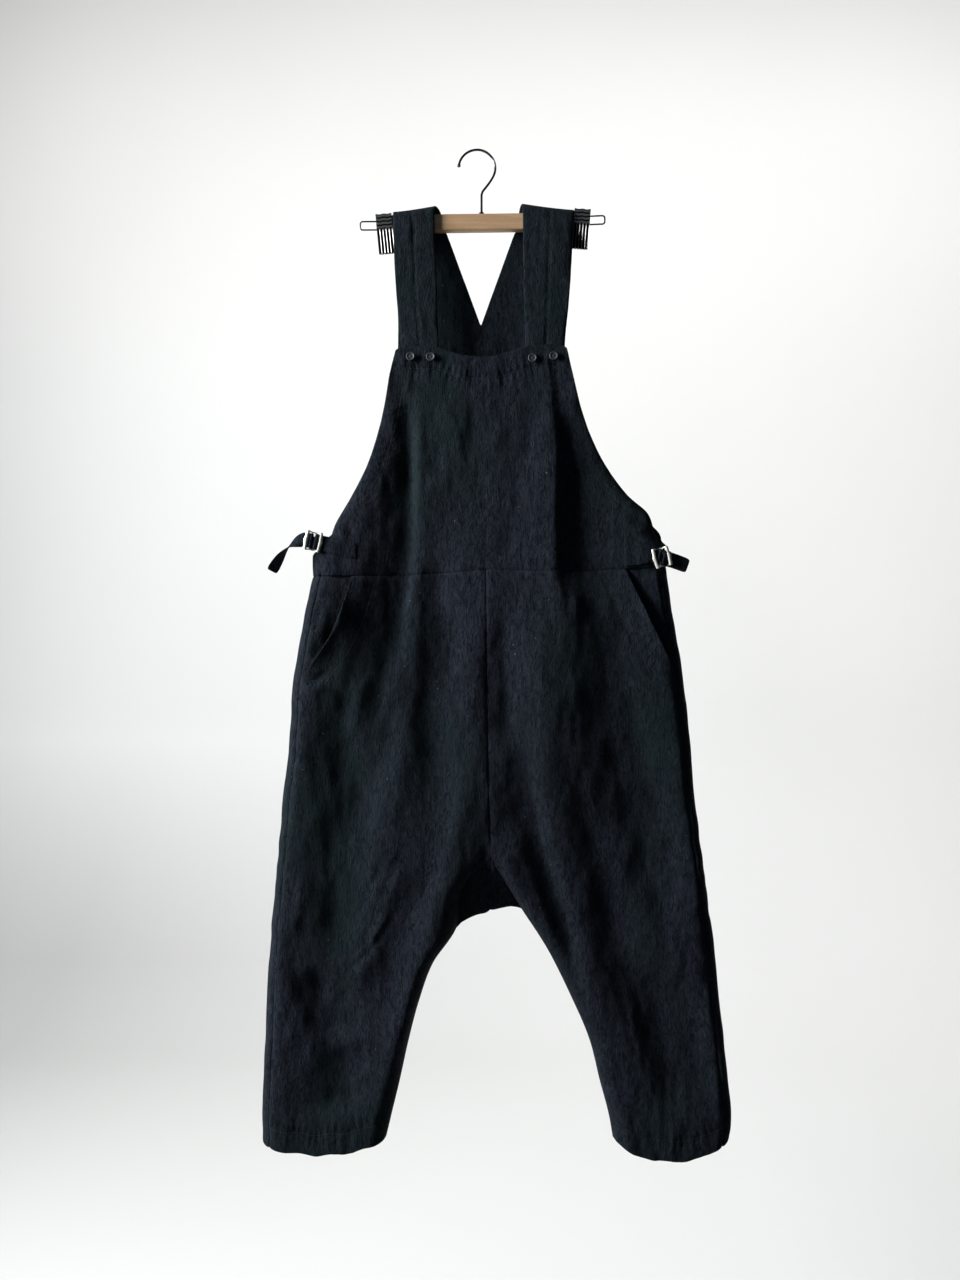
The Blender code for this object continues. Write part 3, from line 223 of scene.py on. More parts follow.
# Creases of the front and of the back, in millimetres: how wide each is on its left and on its right, how
# far it stands out, and points (x, z) of its line from the top down. A valley has a negative height.
Crease = namedtuple("Crease", "name line left right height")
FRONT_CREASES = creases_of("""
under left tab 1: 3 4 1.8: -224,-545 -208,-552 -190,-550
under left tab 2: 3 4 -1.6: -218,-558 -200,-560 -182,-556
under left tab 3: 4 3 1.5: -200,-548 -190,-557 -184,-568
above left tab 1: 3 4 -1.6: -207,-512 -192,-519 -178,-524
above left tab 2: 4 4 1.8: -196,-498 -184,-512 -176,-528
above left tab 3: 4 4 -1.6: -183,-490 -172,-508 -166,-526
under right tab 1: 3 4 1.6: 196,-550 212,-556 228,-560
under right tab 2: 3 3 -1.4: 204,-560 216,-566 232,-568
above right tab 1: 4 4 2: 186,-492 202,-508 222,-520
above right tab 2: 3 4 -1.8: 200,-488 216,-502 234,-518
above right tab 3: 4 4 -1.6: 176,-505 192,-520 206,-532
left pocket rim: 2 4 1.2: -172,-575 -188,-640 -206,-668 -236,-702
left knee drag 1: 5 6 2.4: -98,-915 -124,-956 -146,-1004
left knee drag 2: 4 6 -2.8: -104,-1000 -138,-1052 -176,-1098
left knee drag 3: 5 5 -2: -120,-940 -146,-985 -164,-1040
left bib valley: 29 9 -15: -94,-307 -92,-409 -94,-560 -102,-617 -114,-685 -141,-782
left hip ridge: 9 8 5: -80,-310 -82,-409 -91,-558 -98,-615 -111,-675 -130,-761 -146,-812
right bib ridge: 31 10 9: 91,-310 100,-407 97,-498 101,-590 112,-654
right hip valley: 17 38 -6.6: 103,-312 113,-394 133,-496 141,-588 131,-668 148,-760 135,-852
left bib fold line: 7 4 -1.5: -98,-292 -97,-380 -97,-470 -101,-566
right bib fold line: 5 7 -1.1: 99,-294 106,-350 116,-420
left bib ridge: 10 14 1.8: -47,-318 -33,-381 -17,-450
right bib valley: 19 14 -2.4: 83,-319 64,-394 43,-478
centre bib ridge: 10 6 1.7: 6,-406 23,-387 32,-364
left bib valley 2: 16 17 -2.2: -115,-430 -123,-500 -142,-558 -151,-619
left hip valley: 38 38 -12.5: -64,-446 -57,-560 -61,-631 -69,-734 -63,-857 -85,-930
right bib valley 2: 16 14 -3.1: 42,-498 36,-531 32,-559
left hip valley 2: 25 26 -5.2: -121,-501 -124,-563 -139,-622 -151,-691
right hip ridge: 34 23 9.3: 109,-561 127,-620 130,-691 146,-760
left hip ridge 2: 13 21 2.6: -80,-575 -79,-660 -90,-760 -108,-858 -108,-930
left hip ridge 3: 19 16 3.3: -176,-590 -174,-652 -186,-711 -193,-781
left hip valley 3: 13 10 -1.7: -34,-590 -29,-655 -22,-760
right hip ridge 2: 18 33 8.1: 70,-590 73,-700 70,-813 84,-881
left hip valley 4: 6 6 -2.5: -207,-593 -212,-623 -221,-655
left hip valley 5: 17 18 -6.1: -36,-600 -40,-700 -25,-800 -25,-880
left knee ridge: 12 25 7: -51,-603 -35,-733 -25,-865 -38,-931 -66,-1035 -88,-1142 -120,-1230 -173,-1297
right hip valley 2: 30 17 -6.8: 30,-603 34,-708 35,-812
right thigh valley: 38 13 -9.3: 55,-603 68,-734 67,-839 83,-944 113,-1035 129,-1116 148,-1166 174,-1237
right hip valley 3: 18 29 -3.6: 160,-616 187,-719 187,-785
left thigh valley: 30 38 -11.5: -169,-654 -182,-761 -183,-874 -198,-970 -190,-1050 -214,-1114
left hip ridge 4: 13 11 3.6: -152,-689 -159,-735 -175,-799
right thigh valley 2: 26 38 -5.4: 165,-699 170,-786 170,-865 181,-950
left thigh valley 2: 35 17 -6.3: -121,-700 -125,-790 -147,-869 -134,-930
left hip valley 6: 4 4 -2: -228,-713 -212,-706 -196,-692
left hip ridge 5: 10 9 3.2: -232,-719 -217,-720 -199,-714
right thigh valley 3: 37 31 -11: 199,-720 215,-821 249,-918 257,-1009
right thigh valley 4: 13 18 -2.9: 166,-773 186,-838 196,-924
right knee valley: 24 38 -10.1: 132,-786 133,-865 164,-967 183,-1060 215,-1140 240,-1233 256,-1293
left knee ridge 2: 12 28 3.7: -139,-799 -130,-873 -141,-958 -155,-1025 -182,-1101 -196,-1142
left thigh ridge: 38 26 6: -190,-813 -190,-901 -205,-990 -214,-1070
right thigh valley 5: 27 37 -10.4: 197,-828 213,-933 264,-1059
left knee ridge 3: 10 14 4: -265,-860 -266,-960 -268,-1060 -271,-1150
right knee ridge: 17 9 4.3: 50,-874 60,-945 86,-1015 109,-1087
left knee ridge 4: 11 14 3.6: -9,-899 -43,-1001 -59,-1074 -81,-1140
right knee ridge 2: 10 12 3.8: 30,-900 45,-972 77,-1043
right thigh ridge: 4 4 1.1: 24,-910 31,-943 42,-976
centre thigh valley: 5 8 -3.4: 10,-918 3,-952 -16,-983
left thigh valley 3: 6 4 -1.2: -94,-919 -114,-947 -139,-980
left knee ridge 5: 15 20 5.1: -100,-945 -112,-981 -134,-1014
left knee ridge 6: 5 13 3: -235,-951 -238,-1002 -251,-1051
right knee valley 2: 18 24 -2.5: 144,-961 159,-1052 182,-1121 199,-1180
left knee ridge 7: 22 20 13: -52,-962 -61,-1035 -78,-1104 -100,-1182 -119,-1250
right knee ridge 3: 6 4 0.9: 180,-981 193,-954
left knee ridge 8: 9 18 5.7: -116,-996 -145,-1063 -177,-1122
left knee valley: 6 14 -1.6: -121,-1026 -155,-1080 -198,-1160
left calf valley: 10 19 -2.3: -248,-1058 -230,-1131 -194,-1199
right calf valley: 20 36 -6.1: 192,-1059 232,-1124 249,-1218 262,-1294
right calf valley 2: 29 23 -8.1: 254,-1074 283,-1177 295,-1288
left calf valley 2: 21 33 -9.9: -220,-1080 -204,-1138 -179,-1195
right calf valley 3: 31 16 -2.6: 186,-1140 179,-1212 196,-1291
left calf ridge: 16 17 0.8: -229,-1172 -237,-1238 -240,-1294
left calf valley 3: 38 30 -10: -170,-1176 -180,-1226 -177,-1289
left calf valley 4: 14 11 -0.9: -260,-1181 -248,-1226 -232,-1290
""")
BACK_CREASES = creases_of("""
left shoulder ridge: 18 24 6: -78,-300 -90,-430 -104,-600 -128,-760
left shoulder valley: 16 9 -5: -104,-340 -112,-470 -136,-640 -160,-770
right shoulder valley: 10 20 -6: 86,-320 92,-480 106,-640 146,-850
right shoulder ridge: 16 8 3.5: 72,-330 78,-470 88,-600 112,-760
left hip valley: 24 13 -6.5: -168,-690 -176,-800 -186,-960 -196,-1140
left hip ridge: 14 16 4.5: -136,-760 -142,-880 -160,-1010 -172,-1120
right hip ridge: 22 18 5.5: 196,-690 208,-820 222,-980 236,-1190
right hip valley: 10 14 -5: 170,-720 182,-840 192,-960 204,-1080
right seat valley: 10 18 -6: 50,-830 82,-920 118,-1040 158,-1200
right seat ridge: 15 8 4.5: 30,-800 58,-920 94,-1050 132,-1180
left seat ridge: 12 20 6: -40,-830 -82,-940 -122,-1080 -158,-1250
left seat valley: 9 9 -3.5: -66,-850 -106,-960 -140,-1060 -170,-1160
centre back valley: 22 22 -3.5: 2,-270 4,-360 2,-460 0,-545
fold beside the neck: 7 9 -3: -34,-246 -14,-254 6,-262 30,-280
soft roll under the neck: 8 8 2.4: -40,-262 -18,-270 2,-280
left sharp crease: 5 7 -3.5: -120,-1010 -152,-1060 -190,-1120
left sharp edge: 6 5 2.6: -118,-985 -148,-1035 -180,-1085
right knee crumple: 5 6 -2.6: 196,-1010 216,-1040 246,-1060
left calf valley: 13 14 -4: -232,-1150 -236,-1230 -242,-1300
right calf valley: 14 15 -4.5: 262,-1110 268,-1200 280,-1300
seat drag: 6 6 -2.4: 6,-900 -18,-940 -44,-990
seat drag right: 6 5 2.2: 24,-890 46,-930 64,-970
""")

# Straps. Outer and inner are the strap's two long edges, over the bar from back to front.
StrapRow = namedtuple("StrapRow", "name y z_outer z_inner left_outer left_inner right_outer right_inner")
STRAP_ROWS = rows_of(StrapRow, """
back seam:     0.011 -0.1047 -0.1047  -0.114  -0.046  0.123 0.0475
behind bar:    0.011  -0.095  -0.093 -0.1145 -0.0495 0.1235   0.05
rise:         0.0106 -0.0895  -0.084 -0.1148  -0.052  0.124  0.052
shoulder:      0.008 -0.0853 -0.0778  -0.115  -0.054 0.1245 0.0535
crest back:    0.004 -0.0838 -0.0752 -0.1152  -0.056  0.125 0.0545
crest:             0 -0.0835 -0.0745 -0.1154  -0.058 0.1255 0.0555
crest front: -0.0045 -0.0838 -0.0753 -0.1156 -0.0592 0.1258 0.0562
fall:        -0.0085 -0.0853 -0.0782 -0.1157   -0.06 0.1258 0.0568
before bar:  -0.0108 -0.0895  -0.085 -0.1157 -0.0608 0.1256  0.057
front 1:     -0.0112    -0.1    -0.1 -0.1155 -0.0608  0.125 0.0572
front 2:     -0.0112   -0.13   -0.13 -0.1147 -0.0598 0.1232 0.0576
front 3:     -0.0114   -0.17   -0.17  -0.113 -0.0582 0.1208 0.0582
front 4:     -0.0116  -0.215  -0.215 -0.1095 -0.0566 0.1172  0.059
bib top:     -0.0122   -0.26   -0.26  -0.105 -0.0552  0.113 0.0598
end:         -0.0126    -0.3    -0.3 -0.1035  -0.055 0.1115   0.06
""")
RIGHT_CREST_LIFT = 0.0030

# Buttons on the bib's top band.
BUTTON_RADIUS = 0.0057
BUTTON_PLACES = [(-0.0920, -0.2801), (-0.0654, -0.2807), (0.0694, -0.2823), (0.0974, -0.2796)]

# Waist adjusters: a tab sewn to the bib holds a slide buckle, and a strip from the back runs through it.
Adjuster = namedtuple("Adjuster", "x z y lean tab_x tab_z tab_height end_lift")
ADJUSTERS = {
    "left": Adjuster(-0.2190, -0.5257, -0.0255, 12.0, -0.1630, -0.5385, 0.0205, 0.0011),
    "right": Adjuster(0.2380, -0.5470, -0.0290, 15.0, 0.1900, -0.5395, 0.040, 0.0018),
}
BAR_REACH = 0.0108  # middle of the buckle to the middle of its side bars
BUCKLE_HALF_HEIGHT = 0.0130
BUCKLE_RAIL = 0.0018
INNER_BAR = 0.0034  # middle of the buckle to each of the two bars that the cloth turns round
INNER_BAR_HALF = 0.0008
UNDER_BAR = -0.0012  # where a strip lies that passes under an end bar
TURN_RADIUS = 0.0026  # outer face of a strip that turns round a bar
STRIP_WIDTH = 0.0190
TAB_END_WIDTH = 0.0195
TurnStep = namedtuple("TurnStep", "x y z roll")
LEFT_TAIL = rows_of(TurnStep, """
-0.2345  -0.024 -0.5232   6
-0.2405 -0.0238 -0.5256  30
-0.2497  -0.023 -0.5294  70
-0.2562  -0.022 -0.5358  88
-0.2615  -0.021 -0.5424 106
-0.2667 -0.0202 -0.5503 120
-0.2753 -0.0195 -0.5647 133
""")
RIGHT_TAIL = rows_of(TurnStep, """
 0.255 -0.0275 -0.5518 2
 0.264  -0.027  -0.555 4
0.2731 -0.0262 -0.5585 6
""")

# Hanger.
BAR_LENGTH = 0.242
BAR_MIDDLE_X = 0.003
BAR_TOP_Z = -0.0860
BAR_SLOPE = 0.012
HOOK_WIRE = 0.0030
HOOK_INSIDE = 0.0230
HOOK_MIDDLE_X = -0.0040
HOOK_TIP_ANGLE = 172.0
HOOK_END_ANGLE = -32.0
SHANK_X = 0.0021
SHANK_TOP_Z = -0.0560
HOOK_BALL = 0.0024
COLLAR = (0.0042, 0.0030, 0.0032)  # radius of its foot and of its top, and its height
COLLAR_MIDDLE = 0.0017  # above the bar
RAIL_WIRE = 0.0020
RAIL_CORNER = 0.0034
Rail = namedtuple("Rail", "end_x root_upper_z root_lower_z end_upper_z end_lower_z")
RAILS = {
    "left": Rail(-0.1614, -0.0946, -0.1058, -0.0948, -0.1060),
    "right": Rail(0.1683, -0.0885, -0.0997, -0.0868, -0.0980),
}
CLIP_WIDTH = 0.0210
CLIP_HEIGHT = 0.0520
Clip = namedtuple("Clip", "x lean")
CLIPS = {"left": Clip(-0.1290, -5.0), "right": Clip(0.1372, 4.0)}


# ---------------------------------------------------------------- curves through the tables
def smooth(keys, values, at, free=False):
    """A smooth curve through the values; unless free, no part of it passes its neighbours."""
    keys, values, at = [np.asarray(a, float) for a in (keys, values, at)]
    i = np.clip(np.searchsorted(keys, at) - 1, 0, len(keys) - 2)
    step = keys[i + 1] - keys[i]
    t = np.clip((at - keys[i]) / step, 0.0, 1.0)
    slopes = np.gradient(values, keys)
    rise = (values[i + 1] - values[i]) / step
    first, last = slopes[i], slopes[i + 1]
    if not free:
        first, last = limited(first, rise), limited(last, rise)
    return (
        (2 * t**3 - 3 * t**2 + 1) * values[i]
        + (t**3 - 2 * t**2 + t) * step * first
        + (3 * t**2 - 2 * t**3) * values[i + 1]
        + (t**3 - t**2) * step * last
    )


def limited(slope, rise):
    bound = np.sign(rise) * np.minimum(np.abs(slope), 3 * np.abs(rise))
    return np.where(slope * rise > 0, bound, 0.0)


def column(rows, name):
    return [getattr(row, name) for row in rows]


def depth(name, z):
    return smooth(column(DEPTHS, "z"), column(DEPTHS, name), z)


def bib_top_z(x):
    return smooth(column(BIB_TOP, "x"), column(BIB_TOP, "z"), x)


def between(a, b, t):
    return a + (b - a) * t


def ramp(value, low, high):
    """0 below low, 1 above high, and smooth between them."""
    t = np.clip((value - low) / (high - low), 0.0, 1.0)
    return t * t * (3 - 2 * t)


# ---------------------------------------------------------------- creases, seams and crinkles
class Line:
    """A line on the cloth, through points (x, z) in metres."""

    def __init__(self, points, steps=90):
        points = np.asarray(points, float)
        run = np.r_[0.0, np.cumsum(np.hypot(*np.diff(points, axis=0).T))]
        at = np.linspace(0.0, run[-1], steps)
        self.points = np.stack([smooth(run, points[:, k], at, free=True) for k in (0, 1)], axis=1)
        tangent = np.gradient(self.points, axis=0)
        self.tangent = tangent / np.hypot(*tangent.T)[:, None]
        self.length = run[-1]

    def near(self, x, z, reach):
        """Which of the places lie near the line, their share of its length, and how far across they lie."""
        low, high = self.points.min(axis=0) - reach, self.points.max(axis=0) + reach
        inside = np.flatnonzero((x > low[0]) & (x < high[0]) & (z > low[1]) & (z < high[1]))
        away_x = x[inside, None] - self.points[:, 0]
        away_z = z[inside, None] - self.points[:, 1]
        nearest = np.argmin(away_x**2 + away_z**2, axis=1)
        row = np.arange(len(inside))
        dx, dz = away_x[row, nearest], away_z[row, nearest]
        tx, tz = self.tangent[nearest].T
        along, across = dx * tx + dz * tz, tx * dz - tz * dx
        last = len(self.points) - 1
        share = np.clip(nearest / last + along / self.length, 0.0, 1.0)
        outside = ((nearest == 0) & (along < 0)) | ((nearest == last) & (along > 0))
        return inside, share, np.where(outside, np.copysign(np.hypot(dx, dz), across), across)


CREASE_SHARPNESS = 1.6
FOLD_LIMIT = 0.0125  # ridges that meet rise no further than this
CREASE_ENDS = 0.30  # share of a crease's length over which it rises and dies away


def crease_lines(creases):
    return [(crease, Line(np.array(crease.line) * MM)) for crease in creases]


FRONT_LINES = crease_lines(FRONT_CREASES)
BACK_LINES = crease_lines(BACK_CREASES)


def crease_relief(lines, x, z):
    """How far the creases push the cloth out at each place."""
    total = np.zeros(x.shape)
    for crease, line in lines:
        wide = max(crease.left, crease.right) * MM
        inside, share, across = line.near(x, z, 3 * wide)
        width = np.where(across > 0, crease.right, crease.left) * MM
        taper = ramp(np.minimum(share, 1.0 - share), 0.0, CREASE_ENDS)
        total[inside] += crease.height * MM * taper * np.exp(-(np.abs(across / width) ** CREASE_SHARPNESS))
    return total


LATTICE = 97  # the noise repeats after this many hills
LATTICE_START = (40.3, 60.7)


def soft_noise(x, z, wide, tall, seed):
    """Uneven hills and hollows from -1 to 1, about that wide and that tall."""
    lattice = np.random.RandomState(seed).uniform(-1.0, 1.0, (LATTICE, LATTICE))
    u, v = x / wide + LATTICE_START[0], z / tall + LATTICE_START[1]
    i, j = np.floor(u).astype(int), np.floor(v).astype(int)
    s, t = u - i, v - j
    s, t = s * s * (3 - 2 * s), t * t * (3 - 2 * t)
    a, b, c, d = (lattice[(i + m) % LATTICE, (j + n) % LATTICE] for n in (0, 1) for m in (0, 1))
    return between(between(a, b, s), between(c, d, s), t)


# How high, wide and tall the hills of the crepe's crumple are.
LONG_DENT = (0.00085, 0.019, 0.055)
CRINKLE = (0.00070, 0.0085, 0.024)
FINE_CRINKLE = (0.00038, 0.0060, 0.014)
WORN_SIZE = (0.075, 0.11)  # places that are more crumpled than others


def crumple(x, z, seed):
    """The crumpled look of the crepe all over: soft long dents and short crinkles."""
    worn = 0.70 + 0.75 * np.abs(soft_noise(x, z, *WORN_SIZE, seed + 3))
    total = LONG_DENT[0] * soft_noise(x, z, *LONG_DENT[1:], seed)
    total += CRINKLE[0] * worn * soft_noise(x, z, *CRINKLE[1:], seed + 1)
    return total + FINE_CRINKLE[0] * worn * soft_noise(x + 0.2 * z, z, *FINE_CRINKLE[1:], seed + 2)


# A seam or a row of stitching: its line, how deep it draws the cloth in, and how strongly it puckers.
Seam = namedtuple("Seam", "line dip half_width pucker reach")
SEAMS = {"front": [], "back": []}
PUCKER_PITCH = 780  # radians a metre, about one pucker in 8 mm


def add_seam(face, points, dip=0.0009, half_width=0.0030, pucker=0.00055, reach=0.010):
    SEAMS[face].append(Seam(Line(points, 160), dip, half_width, pucker, reach))


def seam_relief(face, x, z):
    total = np.zeros(x.shape)
    for number, seam in enumerate(SEAMS[face]):
        inside, share, across = seam.line.near(x, z, 3 * seam.reach)
        run = share * seam.line.length
        ripple = np.sin(run * PUCKER_PITCH + 5 * soft_noise(run, run, 0.03, 0.5, 70 + number))
        ripple *= 0.55 + 0.45 * soft_noise(run, across, 0.021, 0.02, 90 + number)
        away = np.abs(across)
        pucker = seam.pucker * ripple * np.exp(-((away / seam.reach) ** 2)) * ramp(away, 0.0, 0.003)
        total[inside] += pucker - seam.dip * np.exp(-((away / seam.half_width) ** 2))
    return total


# ---------------------------------------------------------------- the form of the cloth
def rounding(reach):
    """0 at a side fold, 1 where the cloth has its full depth."""
    inside = 1.0 - np.clip(reach, 0.0, EDGE_ROUND) / EDGE_ROUND
    return np.sqrt(1.0 - inside**EDGE_POWER)


def surface_y(face, x, z, outer_reach, inner_reach=EDGE_ROUND, inner=0.0):
    """The cloth at a place that far from its outer and its inner edge."""
    x, z = np.broadcast_arrays(np.asarray(x, float), np.asarray(z, float))
    fullness = 1.0 - depth("drop", z) * (1.0 - rounding(outer_reach))
    fullness = fullness * (1.0 - inner * (1.0 - rounding(inner_reach)))
    flat_x, flat_z = x.ravel(), z.ravel()
    lines = FRONT_LINES if face == "front" else BACK_LINES
    folds = crease_relief(lines, flat_x, flat_z).reshape(x.shape)
    folds = np.where(folds > 0, FOLD_LIMIT * np.tanh(folds / FOLD_LIMIT), folds)
    small = crumple(flat_x, flat_z, 11 if face == "front" else 31) + seam_relief(face, flat_x, flat_z)
    out = fullness * folds + (0.35 + 0.65 * fullness) * small.reshape(x.shape)
    y = between(depth("tip", z), depth(face, z), fullness)
    return y - out if face == "front" else y + out


def seat_inner(where):
    """How far the centre back has turned under, by the place in the table: it starts above the crotch."""
    return smooth([0, 5.5, 7, 8, 20], [0.0, 0.0, 0.30, 1.0, 1.0], where)


TURN_SPOTS = 8  # points from the side seam to the side fold, and on to the back
LEG_WIDTH = 0.24  # widths of the panels, for the spacing of their points
BIB_WIDTH = 0.44
HIP_WIDTH = 0.075
SEAT_SPOTS = 13


class Half:
    """One half of the garment below the waist, read at any places between its stations."""

    def __init__(self, side, stations):
        self.side = side
        self.sign = -1.0 if side == "left" else 1.0
        self.stations = stations
        self.last = len(stations) - 1
        self.names = column(stations, "name")

    def place(self, name):
        return self.names.index(name)

    def at(self, name, where):
        where = np.asarray(where, float)
        if name == "open_x":
            pocket = [s for s in self.stations if s.open_x is not None]
            mouth = smooth(range(len(pocket)), column(pocket, "open_x"), where)
            seam = self.at("edge_x", where) - self.sign * SIDE_SEAM_IN
            return np.where(where >= len(pocket) - 1, seam, mouth)
        value = smooth(range(self.last + 1), column(self.stations, name), where)
        if name == "edge_x":
            value = value + EDGE_WAVER * soft_noise(where, 0.0 * where, 0.45, 1.0, 15)
        return value

    def places(self, step, first=0, last=None):
        """Places down the half about that far apart, each station among them."""
        found = []
        last = self.last if last is None else last
        for i in range(first, last):
            far = abs(self.stations[i + 1].edge_z - self.stations[i].edge_z)
            found += list(i + np.arange(math.ceil(far / step)) / math.ceil(far / step))
        return np.array(found + [float(last)])

    def flat_point(self, face, where, x):
        """The height of a row at x, how far x is from its inner edge, and how far that edge turns in."""
        inner_x, inner_z = self.at(f"{face}_x", where), self.at(f"{face}_z", where)
        edge_x, edge_z = self.at("edge_x", where), self.at("edge_z", where)
        across = (x - edge_x) / (inner_x - edge_x)
        z = between(edge_z, inner_z, across) - self.at("sag", where) * np.sin(math.pi * across)
        waver = soft_noise(x, 0.0 * x, 0.021, 1.0, 17 if face == "front" else 19)
        z = z + HEM_WAVER * waver * ramp(where, self.last - 0.6, self.last)
        inner = self.at("inner", where) if face == "front" else seat_inner(where)
        return z, np.abs(inner_x - x), inner

    def points(self, face, where, x, reach):
        z, inner_reach, inner = self.flat_point(face, where, x)
        y = surface_y(face, x, z, reach, inner_reach, inner)
        return np.stack(np.broadcast_arrays(x, y, z), axis=-1)

    def strip(self, face, where, start, end, fractions):
        """Rows of points from one x to another."""
        where = where[:, None]
        x = between(start[:, None], end[:, None], np.asarray(fractions)[None, :])
        return self.points(face, where, x, np.abs(x - self.at("edge_x", where)))

    def front_rows(self, where, step):
        fractions = even_fractions(step, turned=True)
        return self.strip("front", where, self.at("open_x", where), self.at("front_x", where), fractions)

    def back_rows(self, where, step):
        """From the side seam on the front, round the side fold, to the centre back."""
        edge = self.at("edge_x", where)[:, None]
        turn = np.linspace(1.0, 0.0, TURN_SPOTS)[None, :-1]
        x = edge - self.sign * SIDE_SEAM_IN * turn**2
        front = self.points("front", where[:, None], x, np.abs(x - edge))
        x = edge - self.sign * SIDE_SEAM_IN * turn[:, ::-1] ** 2
        x = np.concatenate([edge, x], axis=1)
        back = self.points("back", where[:, None], x, np.abs(x - edge))
        start = edge[:, 0] - self.sign * SIDE_SEAM_IN
        rest = self.strip("back", where, start, self.at("back_x", where), even_fractions(step)[1:])
        return np.concatenate([front, back, rest], axis=1)

    def seat_rows(self, where, step):
        """From the lower edge of the seat up to the inseam, on the front."""
        low = self.back_rows(where, step)[:, -1:, :]
        high = self.front_rows(where, step)[:, -1:, :]
        f = np.linspace(0.0, 1.0, SEAT_SPOTS)[None, :, None]
        rows = between(low, high, f)
        rows[:, :, 1] = between(low[:, :, 1], high[:, :, 1], f[:, :, 0] ** 0.75)
        return rows


def even_fractions(step, turned=False):
    """Fractions across a row of a leg, with a closer one at the start where its edge is turned."""
    fractions = list(np.linspace(0.0, 1.0, round(LEG_WIDTH / step) + 1))
    if turned:
        fractions.insert(1, 0.35 * fractions[1])
    return np.array(fractions)


HALVES = {"left": Half("left", LEFT_HALF), "right": Half("right", RIGHT_HALF)}


def bib_grid(step):
    """From the waist seam up to the top edge, from the left side to the right."""
    left, right = HALVES["left"], HALVES["right"]
    keys = range(len(BIB_ROWS) + 1)
    heights = [left.at("front_z", 0)] + column(BIB_ROWS, "left_z")
    up = places_between(heights, step)
    f = edge_fractions(BIB_WIDTH, step)[None, :]
    ends = {}
    for side, half in (("left", left), ("right", right)):
        seam_x = half.at("edge_x", 0) - half.sign * SIDE_SEAM_IN
        seam_z = half.flat_point("front", 0.0, seam_x)[0]
        ends[side, "x"] = smooth(keys, [seam_x] + column(BIB_ROWS, f"{side}_x"), up)[:, None]
        ends[side, "z"] = smooth(keys, [seam_z] + column(BIB_ROWS, f"{side}_z"), up)[:, None]
    follow = smooth(keys, [0.0] + column(BIB_ROWS, "follow"), up)[:, None]
    x = between(ends["left", "x"], ends["right", "x"], f)
    z = between(ends["left", "z"], ends["right", "z"], f)
    waist_x = x[0]
    waist_z = np.where(
        waist_x < left.at("front_x", 0),
        left.flat_point("front", 0.0, waist_x)[0],
        right.flat_point("front", 0.0, waist_x)[0],
    )
    z = z + (waist_z - z[0])[None, :] * np.clip(1.0 - up, 0.0, 1.0)[:, None]
    z = z + follow * (bib_top_z(x) - BIB_TOP_CORNER_Z)
    z[-1] = bib_top_z(x[-1])
    reach = np.minimum(x - ends["left", "x"], ends["right", "x"] - x)
    reach = reach + SIDE_SEAM_IN * ramp(depth("drop", z), 0.5, 0.88)
    return np.stack([x, surface_y("front", x, z, reach), z], axis=-1)


def places_between(heights, step):
    found = []
    for i in range(len(heights) - 1):
        steps = math.ceil(abs(heights[i + 1] - heights[i]) / step)
        found += list(i + np.arange(steps) / steps)
    return np.array(found + [len(heights) - 1.0])


def edge_fractions(width, step):
    """Even fractions with two closer ones at each end, where an edge is turned."""
    even = np.linspace(0.0, 1.0, round(width / step) + 1)
    return np.concatenate([[0.0, 0.3 * even[1]], even[1:-1], [1 - 0.3 * even[1], 1.0]])


